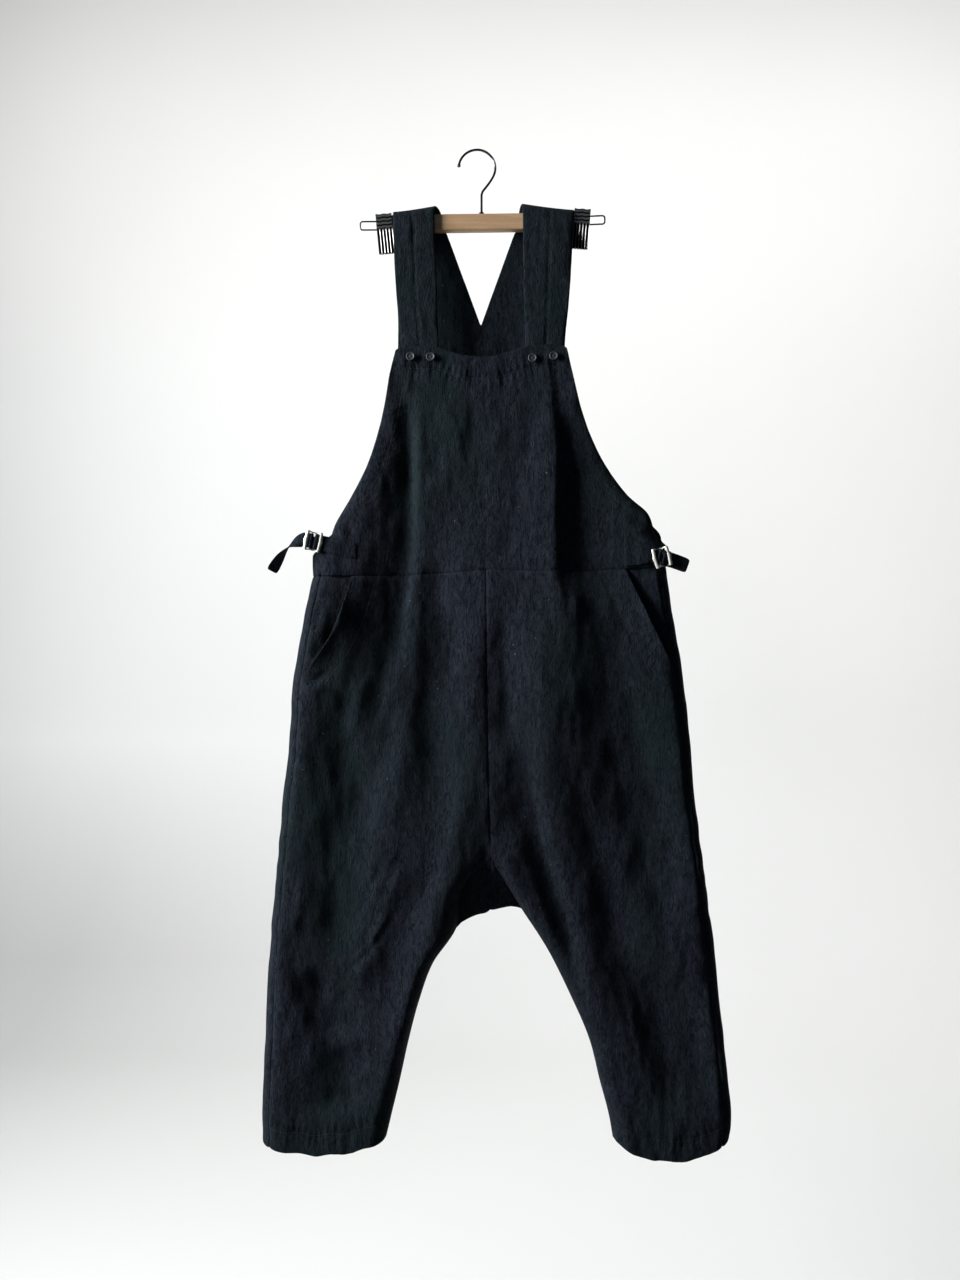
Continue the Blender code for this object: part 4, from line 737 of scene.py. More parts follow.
def back_bib_grid(side, step):
    """From the waist seam up to the V and on to the shoulder, one half."""
    half = HALVES[side]
    waist = half.back_rows(np.array([0.0]), step)[0]
    run = np.r_[0.0, np.cumsum(np.linalg.norm(np.diff(waist, axis=0), axis=1))]
    share = (run / run[-1])[None, :]
    reach = np.abs(waist[:, 0] - half.at("edge_x", 0))[None, :]
    on_front = (np.arange(len(waist)) < TURN_SPOTS - 1)[None, :]
    lower = len(BACK_ROWS)
    edge_x = [half.at("edge_x", 0)] + column(BACK_ROWS, f"{side}_x")
    edge_z = [half.at("edge_z", 0)] + column(BACK_ROWS, f"{side}_z")
    mean_z = [0.5 * (row.left_z + row.right_z) for row in BACK_ROWS]
    centre_x = [waist[-1, 0]] * lower + [V_POINT[0]]
    centre_z = [half.at("back_z", 0)] + mean_z[:-1] + [V_POINT[1]]
    wrap = [1.0] + column(BACK_ROWS, "wrap")
    top_x = BACK_TOP_LEFT_X if side == "left" else BACK_TOP_RIGHT_X
    neck_x = V_TOP_LEFT_X if side == "left" else V_TOP_RIGHT_X
    up = places_between(edge_z, step)[:, None]
    keys = range(lower + 1)
    table = [smooth(keys, values, up) for values in (edge_x, edge_z, centre_x, centre_z, wrap)]
    across = (waist[:, 0] - edge_x[0]) / (centre_x[0] - edge_x[0])
    sag = waist[:, 2] - between(edge_z[0], centre_z[0], across)
    neck = np.linspace(0.0, 1.0, math.ceil((V_ROWS[-1] - V_POINT[1]) / step) + 1)[1:, None]
    neck_z = between(V_POINT[1], V_ROWS[-1], neck)
    above = [between(edge_x[-1], top_x, neck), neck_z, between(V_POINT[0], neck_x, neck), neck_z, 0 * neck]
    fade = np.concatenate([np.clip(1.0 - up, 0.0, 1.0), 0 * neck])
    edge_x, edge_z, centre_x, centre_z, wrap = [np.concatenate(pair) for pair in zip(table, above)]
    x, z = between(edge_x, centre_x, share), between(edge_z, centre_z, share)
    flat = np.stack([x, surface_y("back", x, z, np.abs(x - edge_x)), z], axis=-1)
    x = edge_x - half.sign * reach
    z = between(edge_z, centre_z, (x - edge_x) / (centre_x - edge_x)) + fade * sag[None, :]
    y = np.where(on_front, surface_y("front", x, z, reach), surface_y("back", x, z, reach))
    folded = np.stack([x, y, z], axis=-1)
    grid = between(flat, folded, wrap[:, :, None])
    middle = surface_y("back", centre_x[:, 0], centre_z[:, 0], EDGE_ROUND)
    grid[:, -1] = np.stack([centre_x[:, 0], middle, centre_z[:, 0]], axis=-1)
    return grid


# ---------------------------------------------------------------- where the seams and stitch lines run
# A row of stitches: the face of the garment that it is seen from, and its line.
StitchRow = namedtuple("StitchRow", "face line")
STITCH_ROWS = []
HEM_BAND = 0.027
FACING = 0.029  # width of the facings along the top edge and the pocket edges
ARMHOLE_FACING = 0.020


def add_sewn(face, points, dip, pucker, reach=0.010):
    """A seam that is topstitched, so that its stitches show."""
    add_seam(face, points, dip=dip, pucker=pucker, reach=reach)
    STITCH_ROWS.append(StitchRow(face, SEAMS[face][-1].line))


def lay_seams():
    """Side, waist, centre and facing seams; the panels meet at the first three."""
    for side, half in HALVES.items():
        down = np.linspace(0.0, half.last, 60)
        seam_x = half.at("edge_x", down) - half.sign * SIDE_SEAM_IN
        seam_z = half.flat_point("front", down, seam_x)[0]
        add_seam("front", np.stack([seam_x, seam_z], axis=1), dip=0.0018, half_width=0.0024)
        for face in ("front", "back"):
            low = half.place("crotch") if face == "front" else half.place("seat 1")
            down = np.linspace(0.0, low, 30)
            if side == "left":
                centre = np.stack([half.at(f"{face}_x", down), half.at(f"{face}_z", down)], axis=1)
                add_seam(face, centre, dip=0.0008, pucker=0.00028)
            x = np.linspace(half.at("edge_x", 0), half.at(f"{face}_x", 0), 30)
            add_seam(face, np.stack([x, half.flat_point(face, 0.0, x)[0]], axis=1), dip=0.0010)
            hem = np.linspace(half.at("edge_x", half.last), half.at(f"{face}_x", half.last), 30)
            hem_z = half.flat_point(face, half.last, hem)[0] + HEM_BAND
            add_sewn(face, np.stack([hem, hem_z], axis=1), dip=0.0008, pucker=0.0011, reach=0.013)
        mouth = np.linspace(0.0, half.place("pocket end") - 0.1, 20)
        x = half.at("open_x", mouth)
        z = half.flat_point("front", mouth, x)[0]
        facing = np.stack([x - half.sign * FACING, z - 0.35 * FACING], axis=1)
        dip = 0.0012 if side == "right" else 0.0004
        add_sewn("front", facing, dip=dip, pucker=0.0007)
        armhole = [(getattr(row, f"{side}_x"), getattr(row, f"{side}_z")) for row in BIB_ROWS[2:-1]]
        armhole = np.array(armhole) - (half.sign * ARMHOLE_FACING, 0.004)
        add_sewn("front", armhole[::-1], dip=0.0005, pucker=0.0012, reach=0.015)
    top = np.linspace(-0.104, 0.106, 40)
    facing = np.stack([top, bib_top_z(top) - FACING], axis=1)
    add_sewn("front", facing, dip=0.0014, pucker=0.0012, reach=0.012)


# ---------------------------------------------------------------- making pieces
def finished(obj, slot, *nodes):
    """A piece that stands for those nodes and moves with the one body."""
    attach(obj, "root")
    if nodes:
        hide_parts(*nodes)


def new_object(name, data):
    obj = bpy.data.objects.new(name, data)
    bpy.context.scene.collection.objects.link(obj)
    return obj


def mesh_object(name, bm, finish, sharp_angle=None):
    mesh = bpy.data.meshes.new(name)
    bm.to_mesh(mesh)
    bm.free()
    mesh.shade_smooth()
    if sharp_angle:
        mesh.set_sharp_from_angle(angle=math.radians(sharp_angle))
    mesh.materials.append(finish)
    return new_object(name, mesh)


def add_grid(bm, rows, flip):
    grid = [[bm.verts.new(point) for point in row] for row in rows]
    for upper, lower in zip(grid, grid[1:]):
        for c in range(len(upper) - 1):
            corners = (upper[c], upper[c + 1], lower[c + 1], lower[c])
            bm.faces.new(corners[::-1] if flip else corners)


def let_out(bm, distance):
    """Moves the outline of an open sheet outwards, in the plane of the cloth, as a seam allowance does."""
    moves = {}
    for edge in bm.edges:
        if edge.is_boundary:
            face = edge.link_faces[0]
            loop = next(l for l in face.loops if l.edge == edge)
            along = (loop.link_loop_next.vert.co - loop.vert.co).normalized()
            for vert in edge.verts:
                moves.setdefault(vert, Vector())
                moves[vert] += along.cross(face.normal)
    for vert, direction in moves.items():
        vert.co += direction.normalized() * distance


# Each sheet's flat size is summed as it is made; nothing uses it.
WELD = 0.00004  # points of two grids that lie this close are one


def cloth_sheet(node, grids, flips, thickness=CLOTH, levels=1):
    """A sheet of cloth from grids of points on its outer face, welded and given its thickness inwards."""
    bm = bmesh.new()
    for rows, flip in zip(grids, flips):
        add_grid(bm, rows, flip)
    bmesh.ops.remove_doubles(bm, verts=bm.verts, dist=WELD)
    bmesh.ops.dissolve_degenerate(bm, edges=bm.edges, dist=WELD / 4)
    bm.normal_update()
    area = sum(face.calc_area() for face in bm.faces)
    let_out(bm, SEAM_ALLOWANCE)
    obj = mesh_object(f"{node}_cloth", bm, CLOTH_FINISH)
    wall = obj.modifiers.new("thickness", "SOLIDIFY")
    wall.thickness = thickness
    wall.offset = -1.0
    round_off = obj.modifiers.new("rounding", "SUBSURF")
    round_off.levels = round_off.render_levels = levels
    finished(obj, "cloth", node)


# ---------------------------------------------------------------- finishes
def socket(sockets, name):
    return next(s for s in sockets if name in (s.identifier, s.name.replace(" ", "_")))


class Finish:
    """A material made of nodes. Each method adds a node and gives what comes out of it."""

    def __init__(self, name, roughness, metallic=0.0):
        self.made = bpy.data.materials.new(name)
        self.made.use_nodes = True
        self.tree = self.made.node_tree
        self.shader = self.tree.nodes["Principled BSDF"]
        self.look(Roughness=roughness, Metallic=metallic)

    def fill(self, node, **inputs):
        for name, value in inputs.items():
            spot = socket(node.inputs, name)
            if isinstance(value, bpy.types.NodeSocket):
                self.tree.links.new(value, spot)
            else:
                spot.default_value = (*value, 1.0) if spot.type == "RGBA" else value
        return node

    def look(self, **inputs):
        self.fill(self.shader, **inputs)

    def node(self, kind, **inputs):
        return self.fill(self.tree.nodes.new("ShaderNode" + kind), **inputs)

    def place(self, *scale):
        """Object coordinates with a scale of its own for each axis, in patterns a metre."""
        where = self.node("TexCoord").outputs["Object"]
        return self.node("Mapping", Scale=scale, Vector=where).outputs["Vector"]

    def noise(self, scale, detail=3.0, roughness=0.5, distortion=0.0):
        where = self.place(*scale)
        made = self.node(
            "TexNoise", Scale=1.0, Detail=detail, Roughness=roughness, Distortion=distortion, Vector=where
        )
        return made.outputs["Fac"]

    def spread(self, value, low, high, to_low=0.0, to_high=1.0):
        """Maps a range of the value onto another range."""
        ends = dict(From_Min=low, From_Max=high, To_Min=to_low, To_Max=to_high)
        return self.node("MapRange", Value=value, **ends).outputs["Result"]

    def mix(self, share, first, second):
        made = self.node("Mix")
        made.data_type = "RGBA"
        self.fill(made, Factor_Float=share, A_Color=first, B_Color=second)
        return socket(made.outputs, "Result_Color")

    def bump(self, height, distance, strength=1.0, **under):
        """A bump of that height, in metres, over another one."""
        made = self.node("Bump", Distance=distance, Strength=strength, Height=height, **under)
        return made.outputs["Normal"]


# The darkest cloth colour is painted shade, laid in the hollows of the crinkle bump; the lighter one also
# paints the crinkles' tops.
CLOTH_HOLLOW_SHADE = (0.0012, 0.0034, 0.0072)
CLOTH_LIGHT = (0.0185, 0.0218, 0.0300)
CLOTH_COOL = (0.0058, 0.0150, 0.0140)
LINT = (0.22, 0.23, 0.23)


def black_crepe():
    """Near-black crepe of wool and linen: crinkles that run down the cloth, with painted shade in their
    hollows and a painted lighter tone on their tops, slubs and a little lint.
    """
    crepe = Finish("black_crepe", 0.92)
    crinkle = crepe.noise((225.0, 225.0, 95.0), 3.0, 0.62, 0.8)
    slub = crepe.noise((620.0, 620.0, 70.0), 2.0, 0.6)
    yarn = crepe.noise((760.0, 760.0, 420.0), 3.0, 0.65)
    cool = crepe.noise((8.0, 8.0, 4.0), 2.0)
    # Painted shade: the crinkle noise that raises the bump also darkens its hollows and lightens its tops.
    base = crepe.mix(crepe.spread(crinkle, 0.34, 0.68), CLOTH_HOLLOW_SHADE, CLOTH_LIGHT)
    base = crepe.mix(crepe.spread(slub, 0.50, 0.72, 0.0, 0.65), base, CLOTH_LIGHT)
    base = crepe.mix(crepe.spread(yarn, 0.50, 0.68, 0.0, 0.85), base, CLOTH_LIGHT)
    base = crepe.mix(crepe.spread(cool, 0.42, 0.64, 0.0, 0.48), base, CLOTH_COOL)
    specks = crepe.node("TexVoronoi", Scale=1.0, Vector=crepe.place(85.0, 85.0, 85.0))
    near = crepe.spread(specks.outputs["Distance"], 0.035, 0.055, 1.0, 0.0)
    rare = crepe.spread(crepe.noise((31.0, 31.0, 31.0), 0.0), 0.66, 0.68)
    both = crepe.node("Math", Value=near, Value_001=rare)
    both.operation = "MULTIPLY"
    bump = crepe.bump(crinkle, 0.0031)
    bump = crepe.bump(slub, 0.0007, Normal=bump)
    bump = crepe.bump(yarn, 0.0019, Normal=bump)
    crepe.look(
        Base_Color=crepe.mix(both.outputs[0], base, LINT),
        Roughness=crepe.spread(yarn, 0.3, 0.7, 0.84, 1.0),
        Normal=bump,
        Sheen_Weight=0.012,
        Sheen_Roughness=0.45,
        Sheen_Tint=(0.75, 0.88, 1.0),
        Specular_IOR_Level=0.06,
    )
    return crepe.made


def sewing_thread():
    thread = Finish("black_thread", 0.6)
    twist = thread.noise((2500.0, 2500.0, 2500.0), 1.0)
    thread.look(Base_Color=thread.mix(twist, (0.0035, 0.0040, 0.0050), (0.0100, 0.0110, 0.0130)))
    return thread.made


def slide_nickel():
    """Plated metal with fine drawn lines and small uneven patches."""
    nickel = Finish("buckle_nickel", 0.33, 0.25)
    lines = nickel.noise((900.0, 900.0, 120.0), 2.0, 0.6)
    patches = nickel.noise((140.0, 140.0, 140.0), 2.0)
    nickel.look(
        Base_Color=nickel.mix(lines, (0.58, 0.56, 0.50), (0.78, 0.76, 0.70)),
        Roughness=nickel.spread(patches, 0.3, 0.7, 0.33 * 0.8, 0.33 * 1.35),
        Normal=nickel.bump(lines, 0.00004, 0.6),
    )
    return nickel.made


def wire_chrome():
    """Chrome wire whose near-black colour is a painted dark reflection of the room in front of it, over what
    the metal really mirrors.
    """
    chrome = Finish("chrome_wire", 0.18, 1.0)
    lines = chrome.noise((60.0, 900.0, 900.0), 2.0, 0.6)
    # Painted reflection: the near-black metal colour stands in for the dark room that the wire mirrors.
    chrome.look(
        Base_Color=chrome.mix(lines, (0.030, 0.030, 0.032), (0.17, 0.17, 0.18)),
        Roughness=chrome.spread(lines, 0.3, 0.7, 0.14, 0.24),
        Specular_Tint=(0.10, 0.10, 0.10),
    )
    return chrome.made


def fluted_steel():
    """Plated clips with painted light: a painted highlight along the crests of their ribs and flutes, and
    painted near-black shade in between.
    """
    steel = Finish("clip_steel", 0.40, 0.9)
    crest = steel.node("Attribute")
    crest.attribute_name = "crest"
    worn = steel.noise((600.0, 600.0, 240.0), 2.0, 0.6)
    crest_highlight_colour = steel.mix(worn, (0.17, 0.168, 0.16), (0.36, 0.355, 0.34))
    # The crest attribute paints the highlight on the crests and near-black shade everywhere else.
    steel.look(
        Base_Color=steel.mix(crest.outputs["Fac"], (0.004, 0.004, 0.005), crest_highlight_colour),
        Roughness=steel.spread(worn, 0.3, 0.7, 0.34, 0.48),
        Specular_Tint=(0.15, 0.15, 0.15),
    )
    return steel.made


def dark_snap():
    snap = Finish("dark_snap", 0.5, 0.45)
    worn = snap.noise((700.0, 700.0, 700.0), 3.0, 0.6)
    snap.look(
        Base_Color=snap.mix(worn, (0.026, 0.029, 0.034), (0.080, 0.088, 0.098)),
        Roughness=snap.spread(worn, 0.3, 0.7, 0.42, 0.60),
        Normal=snap.bump(worn, 0.00006, 0.7),
    )
    return snap.made


def beech():
    """Pale beech, its grain along the bar, with the short dark flecks of its rays."""
    wood = Finish("beech", 0.52)
    grain = wood.noise((9.0, 210.0, 210.0), 4.0, 0.6, 0.6)
    pores = wood.noise((120.0, 1500.0, 1500.0), 2.0, 0.6)
    colour = wood.mix(wood.spread(grain, 0.32, 0.68), (0.42, 0.255, 0.135), (0.57, 0.37, 0.22))
    wood.look(
        Base_Color=wood.mix(wood.spread(pores, 0.60, 0.72, 0.0, 0.55), colour, (0.24, 0.135, 0.065)),
        Roughness=wood.spread(grain, 0.3, 0.7, 0.45, 0.62),
        Normal=wood.bump(pores, 0.0001, 0.5),
        Coat_Weight=0.12,
    )
    return wood.made


def studio_paper():
    """Pale paper with painted shade that greys it low down towards the window's side, and greyer still on
    the floor in front of the garment.
    """
    paper = Finish("studio_paper", 0.95)
    tone = paper.noise((1.3, 1.3, 1.3), 2.0)
    pale = paper.mix(tone, (0.80, 0.80, 0.785), (0.83, 0.83, 0.82))
    x, y, z = paper.node("SeparateXYZ", Vector=paper.place(1.0, 1.0, 1.0)).outputs
    # Painted shade: the paper is greyed low down and towards the window's side.
    painted_lower_left_shade = paper.mix(paper.spread(x, -1.6, 0.7), (0.50, 0.50, 0.49), pale)
    pale = paper.mix(paper.spread(z, -1.9, -1.1), painted_lower_left_shade, pale)
    paper.look(Base_Color=paper.mix(paper.spread(y, -0.3, 0.7), (0.16, 0.17, 0.18), pale))
    return paper.made


CLOTH_FINISH = black_crepe()
THREAD_FINISH = sewing_thread()
CHROME_FINISH = wire_chrome()
CLIP_FINISH = fluted_steel()
SLIDE_FINISH = slide_nickel()
SNAP_FINISH = dark_snap()
WOOD_FINISH = beech()
PAPER_FINISH = studio_paper()


# ---------------------------------------------------------------- the panels
POCKET_GAPE = {"left": 0.0068, "right": 0.0060}
GAPE_REACH = 0.024
HIP_UNDER = 0.0026  # how far the hip piece lies under the front
HIP_MARGIN = 0.014  # how far it runs on under the pocket's edge
HIP_DIP = {"left": 0.0070, "right": 0.0035}  # how far it falls back inside the gaping mouth


def pocket_lift(half, rows):
    """The pocket's edge gapes: it stands off the hip piece, most in the middle of the opening."""
    mouth = np.linspace(0.0, half.place("pocket end"), 60)
    x = half.at("open_x", mouth)
    line = Line(np.stack([x, half.flat_point("front", mouth, x)[0]], axis=1))
    flat_x, flat_z = rows[..., 0].ravel(), rows[..., 2].ravel()
    inside, share, across = line.near(flat_x, flat_z, GAPE_REACH)
    lift = np.zeros(len(flat_x))
    away = np.clip(1.0 - np.abs(across) / GAPE_REACH, 0.0, 1.0)
    lift[inside] = POCKET_GAPE[half.side] * np.sin(math.pi * share) * away**1.5
    rows[..., 1] -= lift.reshape(rows.shape[:2])
    return rows


def hip_grid(half, step):
    where = half.places(step, 0, half.place("pocket end"))
    seam = half.at("edge_x", where) - half.sign * SIDE_SEAM_IN
    end = half.at("open_x", where) - half.sign * HIP_MARGIN
    fractions = edge_fractions(HIP_WIDTH, step)
    rows = half.strip("front", where, seam, end, fractions)
    rows[..., 1] += HIP_UNDER * ramp(fractions, -0.15, 0.35)[None, :]
    open_here = np.sin(math.pi * (where / where[-1]) ** 1.4)[:, None]
    rows[..., 1] += HIP_DIP[half.side] * open_here * ramp(fractions, 0.2, 0.85)[None, :]
    return rows


def make_panels():
    fine, plain = FINE_STEP, PLAIN_STEP
    cloth_sheet("front_bib", [bib_grid(fine)], [False])
    backs = [back_bib_grid(side, plain) for side in HALVES]
    cloth_sheet("back_bib", backs, [True, False])
    for side, half in HALVES.items():
        mirror = side == "right"
        where = half.places(fine)
        front = pocket_lift(half, half.front_rows(where, fine))
        cloth_sheet(f"front_leg_{side}", [front], [not mirror])
        where = half.places(plain)
        first, last = half.place("crotch"), half.place("joint")
        seat = half.seat_rows(where[(where >= first) & (where <= last)], plain)
        back = half.back_rows(where, plain)
        cloth_sheet(f"back_leg_{side}", [back, seat], [mirror, mirror])
        cloth_sheet(f"pocket_hip_{side}", [hip_grid(half, fine)], [not mirror])


# ---------------------------------------------------------------- straps
STRAP_LIFT_WIDTH = 0.0112
STRAP_SPOTS = 29
STRAP_THICKNESS = 0.0027
STRAP_SEAM = 0.48  # where the seam runs down the strap, as a share of its width
STRAP_SEAM_DIP = 0.0009
STRAP_PLACES = 76  # rows of points along a strap
STRAP_CROWN = 0.0011  # how far its edges roll back
STRAP_RIPPLE = 0.0004  # along the seam
STRAP_RIPPLE_PITCH = 560  # radians a metre


def make_straps():
    for side in HALVES:
        lift = RIGHT_CREST_LIFT if side == "right" else 0.0
        along = [(row.y, 0.5 * (row.z_outer + row.z_inner)) for row in STRAP_ROWS]
        run = np.r_[0.0, np.cumsum(np.hypot(*np.diff(np.array(along), axis=0).T))]
        at = np.linspace(0.0, run[-1], STRAP_PLACES)[:, None]
        row = {
            name: smooth(run, column(STRAP_ROWS, name), at, free=name == "y")
            for name in ("y", "z_outer", "z_inner", f"{side}_outer", f"{side}_inner")
        }
        t = np.linspace(0.0, 1.0, STRAP_SPOTS)[None, :]
        over_bar = np.clip(1.0 - np.abs(row["y"]) / STRAP_LIFT_WIDTH, 0.0, None)
        x = between(row[f"{side}_outer"], row[f"{side}_inner"], t)
        z = between(row["z_outer"], row["z_inner"], t**1.3) + lift * np.minimum(1.0, 2.5 * over_bar)
        front = ramp(-row["y"], 0.0085, 0.0110)
        crown = STRAP_CROWN * (np.sqrt(np.clip(1 - (2 * t - 1) ** 4, 0, 1)) - 1) + 0 * x
        seam = STRAP_SEAM_DIP * np.exp(-(((t - STRAP_SEAM) / 0.032) ** 2))
        ripple = STRAP_RIPPLE * np.sin(at * STRAP_RIPPLE_PITCH + 4 * soft_noise(x, z, 0.03, 0.03, 7))
        ripple = ripple * np.exp(-(((t - STRAP_SEAM) / 0.16) ** 2))
        small = crumple(x.ravel(), z.ravel(), 51).reshape(x.shape) * 0.8
        y = row["y"] - front * (crown - seam + ripple + small)
        rows = np.stack([x, y + 0 * x, z], axis=-1)
        if side == "left":
            rows = rows[:, ::-1]
        cloth_sheet(f"strap_{side}", [rows], [False], STRAP_THICKNESS)


# ---------------------------------------------------------------- waist adjusters
TAB_SPOTS = 6
STRIP_SPOTS = 5
STRIP_THICKNESS = 0.0015


class AdjusterFrame:
    """along points from the tab out through the buckle; up is across the strip; out is towards -Y."""

    def __init__(self, side):
        spec = ADJUSTERS[side]
        self.sign = -1.0 if side == "left" else 1.0
        self.lean = spec.lean if side == "left" else -spec.lean
        angle = math.radians(self.lean)
        self.origin = Vector((spec.x, spec.y, spec.z))
        self.along = Vector((self.sign * math.cos(angle), 0.0, math.sin(angle)))
        self.up = Vector((-self.sign * math.sin(angle), 0.0, math.cos(angle)))

    def place(self, along, out, up=0.0):
        return self.origin + self.along * along + Vector((0.0, -out, 0.0)) + self.up * up


def turn_round(bar, first, last, steps=12):
    """(along, out) of the outer face of a strip that turns round a bar of the buckle."""
    angles = np.radians(np.linspace(first, last, steps + 1))
    return [(bar + TURN_RADIUS * math.cos(a), TURN_RADIUS * math.sin(a)) for a in angles]


def crossing_row(point, direction, width, spots):
    return [point + direction * (width * float(e)) for e in np.linspace(-0.5, 0.5, spots)]


def cloth_y(face, x, z, reach):
    return float(surface_y(face, [x], [z], np.array([abs(reach)]))[0])


TAB_ROWS = 12  # from its sewn edge to the slide's end bar
STRIP_REACHES = (0.034, 0.024, 0.014, 0.006, 0.0015)  # rows on the back, in from the side fold


def make_tab(side, frame):
    """Sewn flat to the bib at its wide end, then under the slide's end bar and round its first inner bar."""
    spec = ADJUSTERS[side]
    sewn = Vector((spec.tab_x, 0.0, spec.tab_z))
    path = [(-BAR_REACH, UNDER_BAR), (-INNER_BAR - 1.5 * TURN_RADIUS, 0.5 * UNDER_BAR)]
    path += turn_round(-INNER_BAR, 170, -50)
    first = frame.place(*path[0])
    edge = HALVES[side].at("edge_x", 0)
    rows = []
    for t in np.linspace(0.0, 0.92, TAB_ROWS):
        middle = sewn.lerp(first, t)
        upright = Vector((0.0, 0.0, 1.0)).lerp(frame.up, t).normalized()
        row = crossing_row(middle, upright, between(spec.tab_height, TAB_END_WIDTH, t), TAB_SPOTS)
        for point in row:
            lie = cloth_y("front", point.x, point.z, point.x - edge)
            lie -= between(spec.end_lift, TURNED_CLOTH, t)
            point.y = min(lie, between(lie, first.y, t**2))
        rows.append(row)
    rows += [crossing_row(frame.place(*spot), frame.up, TAB_END_WIDTH, TAB_SPOTS) for spot in path]
    if side == "right":
        rows = [row[::-1] for row in rows]
    cloth_sheet(f"tab_{side}", [rows], [False], STRIP_THICKNESS, levels=2)


def make_strip(side, frame):
    """From the back, round the side, up and over the second inner bar, under the end bar and out."""
    tail = LEFT_TAIL if side == "left" else RIGHT_TAIL
    edge = frame.sign * (abs(float(HALVES[side].at("edge_x", 0))) + (0.0 if side == "left" else 0.0025))
    z = frame.origin.z
    points, across = [], []
    for reach in STRIP_REACHES:
        x = edge - frame.sign * reach
        points.append(Vector((x, cloth_y("back", x, z, reach) + TURNED_CLOTH, z)))
        across.append(Vector((0.0, 0.0, 1.0)))
    side_x = edge + frame.sign * 0.0026
    for x_in, y in ((0.0, 0.0010), (-0.0002, -0.0060)):
        points.append(Vector((side_x + frame.sign * x_in, y, z)))
        across.append(Vector((0.0, 0.0, 1.0)).lerp(frame.up, 0.5).normalized())
    path = turn_round(INNER_BAR, 280, 10)
    path += [(INNER_BAR + 1.5 * TURN_RADIUS, 0.5 * UNDER_BAR), (BAR_REACH, UNDER_BAR)]
    points.append(points[-1].lerp(frame.place(*path[0]), 0.55))
    across.append(frame.up)
    for spot in path:
        points.append(frame.place(*spot))
        across.append(frame.up)
    for step in tail:
        points.append(Vector((step.x, step.y, step.z)))
        direction = (points[-1] - points[-2]).normalized()
        level = direction.cross(Vector((0.0, frame.sign, 0.0))).normalized()
        roll = math.radians(step.roll)
        across.append((level * math.cos(roll) + Vector((0.0, 1.0, 0.0)) * math.sin(roll)).normalized())
    rows = [crossing_row(p, d, STRIP_WIDTH, STRIP_SPOTS) for p, d in zip(points, across)]
    if side == "right":
        rows = [row[::-1] for row in rows]
    cloth_sheet(f"strip_{side}", [rows], [False], STRIP_THICKNESS, levels=2)


WING_STEPS = 22
WING_SPOTS = 7  # columns across a wing
WING_FROM = 0.0066  # middle of the slide to a wing's inner edge
WING_WIDTH = 0.0040
WING_BOW = 0.0016  # how far the wings bow outwards
WING_RISE = 0.0021  # how far they stand in front of the inner bars
WING_DOME = 0.0012
SLIDE_THICKNESS = 0.0012
SLIDE_BEVEL = 0.00035
RAIL_SHARE = 0.93  # height of the slide between its wings, as a share of the wings' own


def wing_columns(end, heights):
    """Columns of one wing, from its inner edge outwards, bowed in outline and domed across."""
    columns = []
    for f in np.linspace(0.0, 1.0, WING_SPOTS):
        line = []
        for b in heights:
            share = b / BUCKLE_HALF_HEIGHT
            bow = WING_BOW * math.cos(0.5 * math.pi * share) ** 0.8 * (1.0 + 0.25 * math.cos(7.0 * share))
            rise = WING_RISE * float(ramp(f, 0.0, 0.35)) + WING_DOME * math.sin(math.pi * f)
            line.append((end * (WING_FROM + f * (WING_WIDTH + bow)), -rise, b))
        columns.append(line)
    return columns


def make_buckle(side, frame):
    """A cast slide: two domed wings that show, and two inner bars under the cloth."""
    top, inner = BUCKLE_HALF_HEIGHT, BUCKLE_HALF_HEIGHT - BUCKLE_RAIL
    heights = [-top] + list(np.linspace(-inner, inner, WING_STEPS)) + [top]
    columns = wing_columns(-1, heights)[::-1]
    solid = [True] * (len(columns) - 1)
    for bar in (-INNER_BAR, INNER_BAR):
        for x in (bar - INNER_BAR_HALF, bar + INNER_BAR_HALF):
            columns.append([(x, SLIDE_THICKNESS, b * RAIL_SHARE) for b in heights])
        solid += [False, True]
    columns += wing_columns(1, heights)
    solid += [False] + [True] * (WING_SPOTS - 1)
    bm = bmesh.new()
    columns = [[bm.verts.new(point) for point in line] for line in columns]
    for left, right, filled in zip(columns, columns[1:], solid):
        for r in range(len(heights) - 1):
            if filled or r in (0, len(heights) - 2):
                bm.faces.new((left[r], right[r], right[r + 1], left[r + 1]))
    bmesh.ops.recalc_face_normals(bm, faces=bm.faces[:])
    bmesh.ops.solidify(bm, geom=bm.faces[:], thickness=SLIDE_THICKNESS)
    bmesh.ops.recalc_face_normals(bm, faces=bm.faces[:])
    sharp = [edge for edge in bm.edges if edge.calc_face_angle(0.0) > 1.2]
    bmesh.ops.bevel(bm, geom=sharp, offset=SLIDE_BEVEL, segments=3, profile=0.5, affect="EDGES", material=-1)
    turn = math.radians(-frame.sign * ADJUSTERS[side].lean)
    bmesh.ops.rotate(bm, verts=bm.verts, cent=(0, 0, 0), matrix=rotation(turn, "Y"))
    bmesh.ops.translate(bm, verts=bm.verts, vec=frame.origin)
    finished(mesh_object(f"slide_{side}", bm, SLIDE_FINISH, 35), "buckle", f"buckle_{side}")


def rotation(angle, axis):
    return Matrix.Rotation(angle, 3, axis)


def make_adjusters():
    for side in ADJUSTERS:
        frame = AdjusterFrame(side)
        make_buckle(side, frame)
        make_tab(side, frame)
        make_strip(side, frame)


# ---------------------------------------------------------------- stitches
STITCH_LENGTH = 0.0029
STITCH_PITCH = 0.0036
THREAD_RADIUS = 0.00026
THREAD_SIDES = 5
THREAD_SHARES = ((0.0, 0.25), (0.22, 0.95), (0.78, 0.95), (1.0, 0.25))


